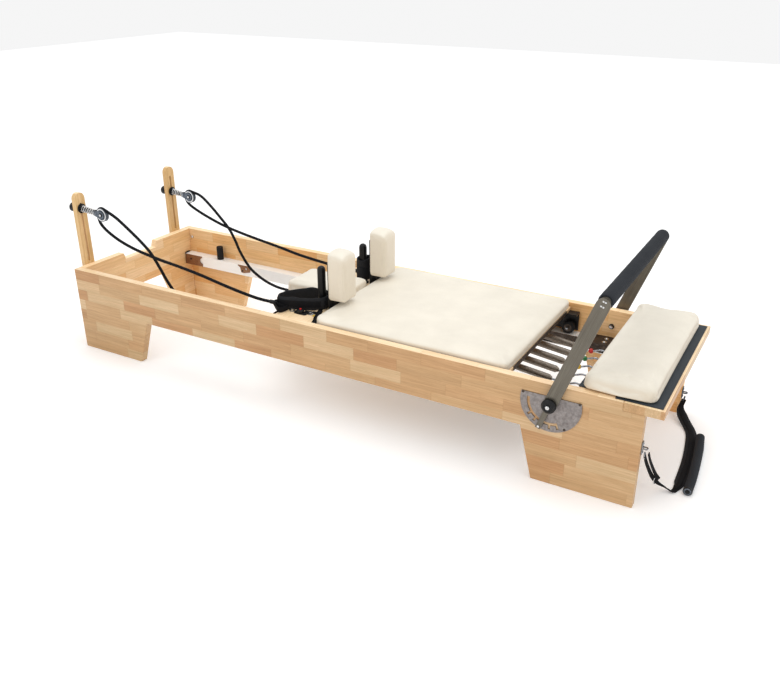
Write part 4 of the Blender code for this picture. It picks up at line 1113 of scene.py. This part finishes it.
def springs():
    """Close-wound springs with tapered ends, each hooked over the bar by a wire with a ball."""
    for number, (y, colour) in enumerate(zip(SPRING_Y, SPRING_COLOUR), 1):
        foot = Vector((SPRING_FOOT[0], y, SPRING_FOOT[1]))
        head = Vector((SPRING_HEAD[0] + 0.0008, y, SPRING_HEAD[1]))
        length = (head - foot).length
        axis = (head - foot).normalized()
        side = Vector((0, 1, 0))
        up = axis.cross(side).normalized()
        steps = SPRING_TURNS * 12
        coil = []
        for i in range(steps + 1):
            share = i / steps
            distance = length * share
            taper = min(1.0, 0.38 + distance / 0.02, 0.38 + (length - distance) / 0.02)
            radius = (SPRING_RADIUS - SPRING_WIRE) * taper
            angle = 2 * math.pi * SPRING_TURNS * share
            coil.append(foot + axis * distance + (side * math.cos(angle) + up * math.sin(angle)) * radius)
        spring = Shape()
        spring.sweep(coil, circle(SPRING_WIRE * 1.12, 6), "spring_steel")
        thing = spring.done(f"coil_{number}", None, [f"spring_{number}"], sharp=60)
        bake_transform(thing)
        hook(number, y, colour)


def hook(number, y, colour):
    """The wire from a spring's foot end over the bar, its turned eye and its coloured ball."""
    shape = Shape()
    route = [(SPRING_FOOT[0] - 0.012, SPRING_FOOT[1] + 0.0014), (SPRING_FOOT[0] + 0.004, 0.2612),
             (HEAD + 2.022, 0.259), BALL, (HEAD + 2.062, 0.2605), (HEAD + 2.08, 0.266),
             (HEAD + 2.098, 0.2625)]
    route += arc(SPRING_BAR, 0.0102, 145, -60, 8)
    points = smooth_route([(x, y, z) for x, z in route], 0.003)
    shape.sweep(points, circle(0.0034, 12), "worn_chrome")
    half_turn = [(max(0.0, r), h) for r, h in arc((0, 0), BALL_RADIUS, -80, 80, 14)]
    tilt = Matrix.Translation((BALL[0], y, BALL[1])) @ Matrix.Rotation(math.radians(94), 4, "Y")
    shape.lathe([(0, -BALL_RADIUS)] + half_turn + [(0, BALL_RADIUS)], tilt, colour, 28)
    shape.lathe([(0, -0.0125), (0.0046, -0.0125), (0.005, -0.0118), (0.005, -0.0085), (0, -0.0085)],
                tilt, "bright_steel", 20)
    shape.done(f"spring_wire_{number}", "frame", [f"spring_hook_{number}"])


# ---------------------------------------------------------------- carriage details

WHEEL_X = {"head": HEAD + 1.000, "foot": HEAD + 1.914}
WHEEL_Z = 0.2643


def carriage_details():
    """Wheel hubs, axle nuts, bracket screws and the collars round the pegs."""
    for side, sign in SIDES.items():
        for end, x in WHEEL_X.items():
            hub = Shape()
            for face in (-1, 1):
                place = facing_y(x, sign * RAIL_MIDDLE + face * 0.0108, WHEEL_Z, face)
                hub.lathe([(0.0046, 0), (0.015, 0), (0.0142, 0.0006), (0.012, 0.0009),
                           (0.0046, 0.0009)], place, "bracket_steel", 32, closed=True)
            hub.done(f"{side}_{end}_wheel_hub", f"{side}_{end}_wheel")
            axle = Shape()
            place = facing_y(x, sign * 0.268, WHEEL_Z, -sign)
            axle.lathe(disc(0.0085, 0, 0.0014), place, "bracket_steel", 28)
            axle.hexagon(place @ Matrix.Translation((0, 0, 0.0014)), 0.01, 0.004, "worn_chrome")
            axle.done(f"{side}_{end}_axle_nut", "carriage")
        foot = Shape()
        for offset in (-0.024, 0.024):
            place = Matrix.Translation((HEAD + 1.1608, sign * 0.147 + offset, DECK_TOP + 0.0054))
            foot.bolt(place, 0.0026, "bright_steel", height=0.0014)
        foot.done(f"{side}_bracket_screws", f"{side}_shoulder_rest")
        base = Shape()
        place = Matrix.Translation((PEG[0], sign * PEG[1], DECK_TOP + 0.0002))
        base.lathe([(0.0158, 0), (0.0215, 0), (0.022, 0.0012), (0.0215, 0.0036), (0.0175, 0.0056),
                    (0.0158, 0.0058)], place, "black_plastic", 36, closed=True)
        base.done(f"{side}_peg_collar", "carriage")


def deck_trim():
    """A dark steel strip along the deck's foot edge."""
    trim = Shape()
    strip = rounded_rectangle((-0.262, DECK_TOP - 0.0122), (0.262, DECK_TOP - 0.0002), 0.0006, 2)
    trim.prism(strip, 0.0014, across_x(HEAD + 1.9089), "bracket_steel", 0.0004)
    flange = rounded_rectangle((HEAD + 1.9054, -0.262), (HEAD + 1.9094, 0.262), 0.0004, 2)
    trim.prism(flange, 0.0008, Matrix.Translation((0, 0, DECK_TOP + 0.0006)), "bracket_steel")
    trim.done("deck_edge_trim", "carriage")


def band(shape, route, width, thickness, spacing=0.006):
    """Adds a strap of webbing that runs along a route on its edge."""
    shape.sweep(smooth_route(route, spacing), flat_section(width, thickness), "webbing", up=UP)


def near_hand_strap():
    """A padded cuff that stands round its peg, with webbing sewn along it to the rope's end."""
    plan = [(1.128, -0.146), (1.126, -0.17), (1.1, -0.19), (1.052, -0.212), (1.003, -0.231),
            (0.968, -0.234), (0.956, -0.214), (0.966, -0.18), (1.000, -0.142), (1.042, -0.114),
            (1.084, -0.106), (1.117, -0.12)]
    height = 0.046
    middle = DECK_TOP + 0.0015 + height / 2
    route = [(HEAD + x, y, middle) for x, y in plan]
    cuff = Shape()
    half = height / 2
    section = [(0.003, -half), (0.0044, -half * 0.72), (0.004, -half * 0.52), (0.0047, 0.0),
               (0.004, half * 0.52), (0.0044, half * 0.72), (0.003, half), (-0.001, half + 0.0004),
               (-0.0036, half * 0.8), (-0.0042, 0.0), (-0.0036, -half * 0.8), (-0.001, -half)]
    points = smooth_route(route, 0.006, True)
    wobbled = []
    for number, point in enumerate(points):
        lift = 0.0022 * math.sin(number * 0.35) + 0.0014 * math.sin(number * 0.9)
        behind = min(1.0, max(0.0, (point.y + 0.2) / 0.07))
        wobbled.append(point + Vector((0, 0, max(0.0, lift) + 0.005 * behind)))
    cuff.sweep(wobbled, section, "padding", up=UP, cyclic=True)
    outside = []
    for x, y in plan[1:8]:
        out = Vector((x - 1.05, (y + 0.17) * 1.2, 0)).normalized() * 0.0052
        outside.append((HEAD + x + out.x, y + out.y, middle + 0.002))
    band(cuff, outside, 0.025, 0.0018)
    thing = cuff.done("near_hand_cuff", "carriage", ["near_hand_strap"])
    end = Shape()
    splay = {"upper": [(0.955, -0.252, 0.36), (0.966, -0.238, 0.3625), (0.975, -0.226, 0.362)],
             "lower": [(0.955, -0.252, 0.36), (0.976, -0.266, 0.352), (0.994, -0.275, 0.3475),
                       (1.004, -0.262, 0.347), (1.01, -0.243, 0.348)],
             "middle": [(0.958, -0.2515, 0.359), (0.976, -0.254, 0.354), (0.998, -0.248, 0.349)]}
    for route in splay.values():
        band(end, [(HEAD + x, y, z) for x, y, z in route], 0.02, 0.0026, spacing=0.004)
    end.lathe([(0.0062, -0.014), (0.0078, -0.012), (0.008, 0.01), (0.007, 0.014), (0.0062, 0.015)],
              facing_x(HEAD + 0.95, -0.25, 0.361), "black_plastic", 20, closed=True)
    end.done("near_rope_end", "carriage")


def far_hand_strap():
    """The other cuff, gathered round its peg in folds."""
    shape = Shape()
    centre = Vector((PEG[0] - 0.001, 0.163, 0))
    for level, (wide, deep, z, height) in enumerate(((0.0245, 0.043, 0.379, 0.05),
                                                     (0.0225, 0.04, 0.414, 0.044))):
        ring = []
        for step in range(20):
            angle = 2 * math.pi * step / 20
            squeeze = 1 + 0.05 * math.sin(3 * angle + level * 1.9)
            ring.append((centre.x + wide * squeeze * math.cos(angle),
                         centre.y + deep * squeeze * math.sin(angle),
                         z + 0.0035 * math.sin(2 * angle + level)))
        half = height / 2
        section = [(0.003, -half), (0.004, -half * 0.6), (0.0042, 0.0), (0.004, half * 0.6),
                   (0.003, half), (-0.0026, half), (-0.0034, 0.0), (-0.0026, -half)]
        shape.sweep(smooth_route(ring, 0.006, True), section, "padding", up=UP, cyclic=True)
    thing = shape.done("far_hand_cuff", "carriage", ["far_hand_strap"])
    end = Shape()
    end.lathe([(0.0062, -0.012), (0.0078, -0.01), (0.008, 0.008), (0.0062, 0.012)],
              facing_x(HEAD + 1.064, 0.1608, 0.372), "black_plastic", 20, closed=True)
    end.done("far_rope_end", "carriage")


CLEAT_RINGS = ((1.024, 0.233, 0.0085, "worn_chrome"), (1.104, 0.226, 0.008, "worn_chrome"),
               (1.034, 0.228, 0.0065, "black_plastic"), (1.094, 0.224, 0.0095, "black_plastic"))
SNAP_HOOKS = ((1.112, 0.214), (1.084, 0.222))
STRAP_END = [(1.128, 0.2, 0.01), (1.136, 0.228, 0.006), (1.146, 0.258, 0.0035), (1.158, 0.284, 0.0025),
             (1.163, 0.3035, 0.0022)]


def patch(x, y, half_x, half_y, radius, steps=4):
    """A rounded rectangle's outline round a middle point."""
    return rounded_rectangle((x - half_x, y - half_y), (x + half_x, y + half_y), radius, steps)


def deck_hardware():
    """Rope cleats, snap hooks and a strap end on the deck before the mat."""
    top = DECK_TOP + 0.0003
    for side, sign in SIDES.items():
        def at(x, y, z):
            return Vector((HEAD + x, sign * y, top + z))

        def plate(x, y, z, half_x, half_y, radius, thickness, finish, edge, steps=4):
            outline = patch(HEAD + x, sign * y, half_x, half_y, radius, steps)
            shape.prism(outline, thickness, Matrix.Translation((0, 0, top + z)), finish, edge)

        shape = Shape()
        plate(1.066, 0.236, 0.0018, 0.026, 0.013, 0.006, 0.0036, "black_plastic", 0.0009)
        knob = Matrix.Translation(at(1.064, 0.236, 0.0036))
        shape.lathe([(0, 0), (0.01, 0), (0.013, 0.002), (0.0132, 0.0085), (0.0105, 0.011), (0, 0.0112)],
                    knob, "black_plastic", 32)
        shape.lathe([(0, 0.0112), (0.0042, 0.0112), (0.0042, 0.0145), (0.003, 0.0155), (0, 0.0157)],
                    knob, "red", 24)
        for x, y, radius, finish in CLEAT_RINGS:
            ring = [at(x, y, 0.003) + Vector((a, b, b * 0.0016 / radius)) for a, b in circle(radius, 16)]
            shape.sweep(ring, circle(0.0018, 8), finish, up=UP, cyclic=True)
        for x, y in SNAP_HOOKS:
            plate(x, y, 0.003, 0.011, 0.006, 0.004, 0.006, "black_plastic", 0.0012)
        plate(1.123, 0.234, 0.0008, 0.007, 0.005, 0.002, 0.0016, "yellow", 0.0004, 3)
        shape.done(f"{side}_rope_cleat", "carriage")
        strap = Shape()
        band(strap, [at(*point) for point in STRAP_END], 0.004, 0.015)
        strap.done(f"{side}_strap_end", "carriage")


# ---------------------------------------------------------------- foot strap

TO_NEAR_CLIP = [(2.357, -0.32, 0.18), (2.359, -0.292, 0.142), (2.364, -0.26, 0.1),
                (2.374, -0.235, 0.06), (2.39, -0.218, 0.032), (2.412, -0.208, 0.017),
                (2.428, -0.203, 0.007)]
ON_FLOOR = [(2.438, -0.196, 0.003), (2.446, -0.155, 0.003), (2.446, -0.1, 0.003), (2.443, -0.02, 0.003),
            (2.437, 0.052, 0.003), (2.427, 0.13, 0.003), (2.418, 0.178, 0.003), (2.404, 0.212, 0.005),
            (2.386, 0.24, 0.01), (2.364, 0.272, 0.022), (2.353, 0.296, 0.036)]
TO_FAR_CLIP = [(2.357, 0.318, 0.06)]
STRAP_WIDTH = 0.02
WIDE_PART = 0.038
BUCKLE_Z = 0.04
GRIP_ROUTE = [(2.479, -0.194), (2.4775, -0.12), (2.471, -0.02), (2.463, 0.07), (2.4515, 0.152)]
GRIP_Z = 0.0156


def across(points):
    """The level direction across a route, at each point."""
    ends = zip(points[:1] + points, points[1:] + points[-1:])
    return [(after - before).cross(Vector((0, 0, 1))).normalized() for before, after in ends]


def narrow_ends(share):
    """The wide part of the strap is cut narrower towards its ends."""
    return 1.0, min(1.0, 0.5 + 6.0 * min(share, 1.0 - share))


def ellipse(centre, first, second):
    """Points round an ellipse given by its two half axes."""
    return [centre + first * a + second * b for a, b in circle(1.0, 16)]


def foot_strap():
    """Webbing from clip to clip that lies on the floor, with a padded grip and a wide far part."""
    route = [(HEAD + x, y, z) for x, y, z in TO_NEAR_CLIP + ON_FLOOR + TO_FAR_CLIP]
    points = smooth_route(route, 0.008)
    lifts = []
    for point, level in zip(points, across(points)):
        share = min(1.0, max(0.0, (point.y + 0.225) / 0.03))
        lifts.append(UP * (1 - share) + level * share)
    main = Shape()
    main.sweep(points, flat_section(STRAP_WIDTH, 0.004), "webbing", up=lifts,
               scale=lambda share: (1.0, 0.7) if share < 0.3 else (1.0, 0.9))
    strap = main.done("floor_strap", "frame", ["foot_strap"])
    handle = strap_grip()
    sewn = strap_fittings(points)


def strap_grip():
    """The foam grip beside the wide part, with its plastic liner at both ends."""
    line = smooth_route([(HEAD + x, y, GRIP_Z) for x, y in GRIP_ROUTE], 0.01)
    grip = Shape()
    grip.sweep(line, circle(0.0148, 24), "foam")
    for end, other in ((line[0], line[1]), (line[-1], line[-2])):
        away = (end - other).normalized()
        grip.rod(end - away * 0.004, end + away * 0.003, 0.0151, "black_plastic", 28, 0.0015)
        grip.rod(end, end + away * 0.0036, 0.012, "sheave_plastic", 28, 0.0006)
        grip.rod(end, end + away * 0.004, 0.0078, "black_rubber", 24)
    return grip.done("floor_strap_grip", "frame")


def strap_fittings(points):
    """The strap's wide padded part, its doubled near part, the buckle and the rings at the clips."""
    extra = Shape()
    wide = [p for p in points if -0.19 < p.y < 0.306]
    extra.sweep(wide, flat_section(WIDE_PART, 0.003), "padding", up=across(wide), scale=narrow_ends)
    folded = [p + Vector((0, 0, 0.0026)) for p in wide]
    extra.sweep(folded, flat_section(WIDE_PART * 0.45, 0.003), "webbing", up=across(folded),
                scale=narrow_ends)
    doubled = [p + Vector((0.01, 0.005, 0.006)) for p in points if p.y < -0.222]
    extra.sweep(doubled, flat_section(STRAP_WIDTH * 0.6, 0.003), "webbing", up=UP)
    near_part = [p for p in points if p.y <= 0]
    buckle_at = min(near_part, key=lambda p: abs(p.z - BUCKLE_Z))
    buckle = ellipse(buckle_at, Vector((0.003, 0.01, 0)), Vector((0, 0, 0.012)))
    extra.sweep(buckle, circle(0.0014, 8), "bright_steel", up=Vector((1, 0, 0.2)), cyclic=True)
    ends = ((points[0], points[1], "worn_chrome"), (points[-1], points[-2], "cheek_steel"))
    for end, tail, steel in ends:
        back = (end - tail).normalized()
        ring = ellipse(end, UP * 0.01, back * 0.008)
        extra.sweep(ring, circle(0.0019, 10), steel, up=Vector((1, 0, 0)), cyclic=True)
    return extra.done("floor_strap_fittings", "frame")


def strap_clips():
    """A plate with two bolts and a staple on either foot leg."""
    for side in SIDES:
        node = f"{side}_strap_clip"
        steel = "worn_chrome" if side == "near" else "cheek_steel"
        low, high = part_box(node)
        middle = (low + high) / 2
        shape = Shape()
        outline = rounded_rectangle((low.y, low.z), (high.y, high.z), 0.004, 4)
        shape.prism(outline, 0.003, across_x(low.x + 0.0018), steel, 0.0006)
        for z in (low.z + 0.008, high.z - 0.008):
            shape.bolt(facing_x(low.x + 0.0033, middle.y, z), 0.0036, steel, height=0.0018)
        loop = [(low.x + 0.002, -0.006), (high.x - 0.004, -0.006), (high.x - 0.001, -0.003),
                (high.x - 0.001, 0.003), (high.x - 0.004, 0.006), (low.x + 0.002, 0.006)]
        staple = smooth_route([(x, middle.y + y, middle.z) for x, y in loop], 0.002)
        shape.sweep(staple, circle(0.0024, 10), steel)
        shape.done(f"{side}_strap_plate", "frame", [node])


# ---------------------------------------------------------------- studio

CAMERA_PLACE = (1.5473, -2.4916, 1.5264)
CAMERA_TURN = (1.1367, 0.0007, 0.5157)
CAMERA_LENS = 37.992


def camera():
    data = bpy.data.cameras.new("camera")
    data.sensor_width = 36.0
    data.lens = CAMERA_LENS
    eye = bpy.data.objects.new("camera", data)
    eye.location = CAMERA_PLACE
    eye.rotation_euler = CAMERA_TURN
    bpy.context.scene.collection.objects.link(eye)
    bpy.context.scene.camera = eye


def lamp(name, location, target, size, power):
    data = bpy.data.lights.new(name, "AREA")
    data.shape = "DISK"
    data.size = size
    data.energy = power
    light = bpy.data.objects.new(name, data)
    light.location = location
    aim = Vector(target) - Vector(location)
    light.rotation_euler = aim.to_track_quat("-Z", "Y").to_euler()
    bpy.context.scene.collection.objects.link(light)


def studio():
    work = bmesh.new()
    bmesh.ops.create_grid(work, x_segments=1, y_segments=1, size=12.0)
    mesh = bpy.data.meshes.new("floor")
    work.to_mesh(mesh)
    work.free()
    look = Look("floor", Roughness=0.9, Emission_Color=(1, 1, 1, 1), Emission_Strength=0.16)
    look.set(Base_Color=look.mix(look.noise(look.place, 0.6, 2.0), (0.95, 0.95, 0.95, 1),
                                 (0.97, 0.97, 0.97, 1)))
    mesh.materials.append(look.material)
    floor = bpy.data.objects.new("floor", mesh)
    floor.location.z = -0.0003
    bpy.context.scene.collection.objects.link(floor)
    world = bpy.data.worlds.new("studio")
    world.use_nodes = True
    world.node_tree.nodes["Background"].inputs["Color"].default_value = (1, 1, 1, 1)
    world.node_tree.nodes["Background"].inputs["Strength"].default_value = 0.92
    bpy.context.scene.world = world
    lamp("key", (-1.6, -3.4, 3.6), (0, 0, 0.3), 1.6, 14)
    lamp("fill", (3.6, -1.2, 2.8), (0.3, 0, 0.3), 1.6, 10)
    lamp("top", (0.2, 0.6, 4.2), (0, 0, 0.3), 2.4, 40)
    bpy.context.scene.view_settings.view_transform = "Standard"


camera()
ropes()
foot_strap()
dress()
frame_details()
carriage_mat()
headrest()
platform_pad()
shoulder_pads()
footbar()
pulleys()
springs()
carriage_details()
deck_trim()
near_hand_strap()
far_hand_strap()
deck_hardware()
strap_clips()
studio()
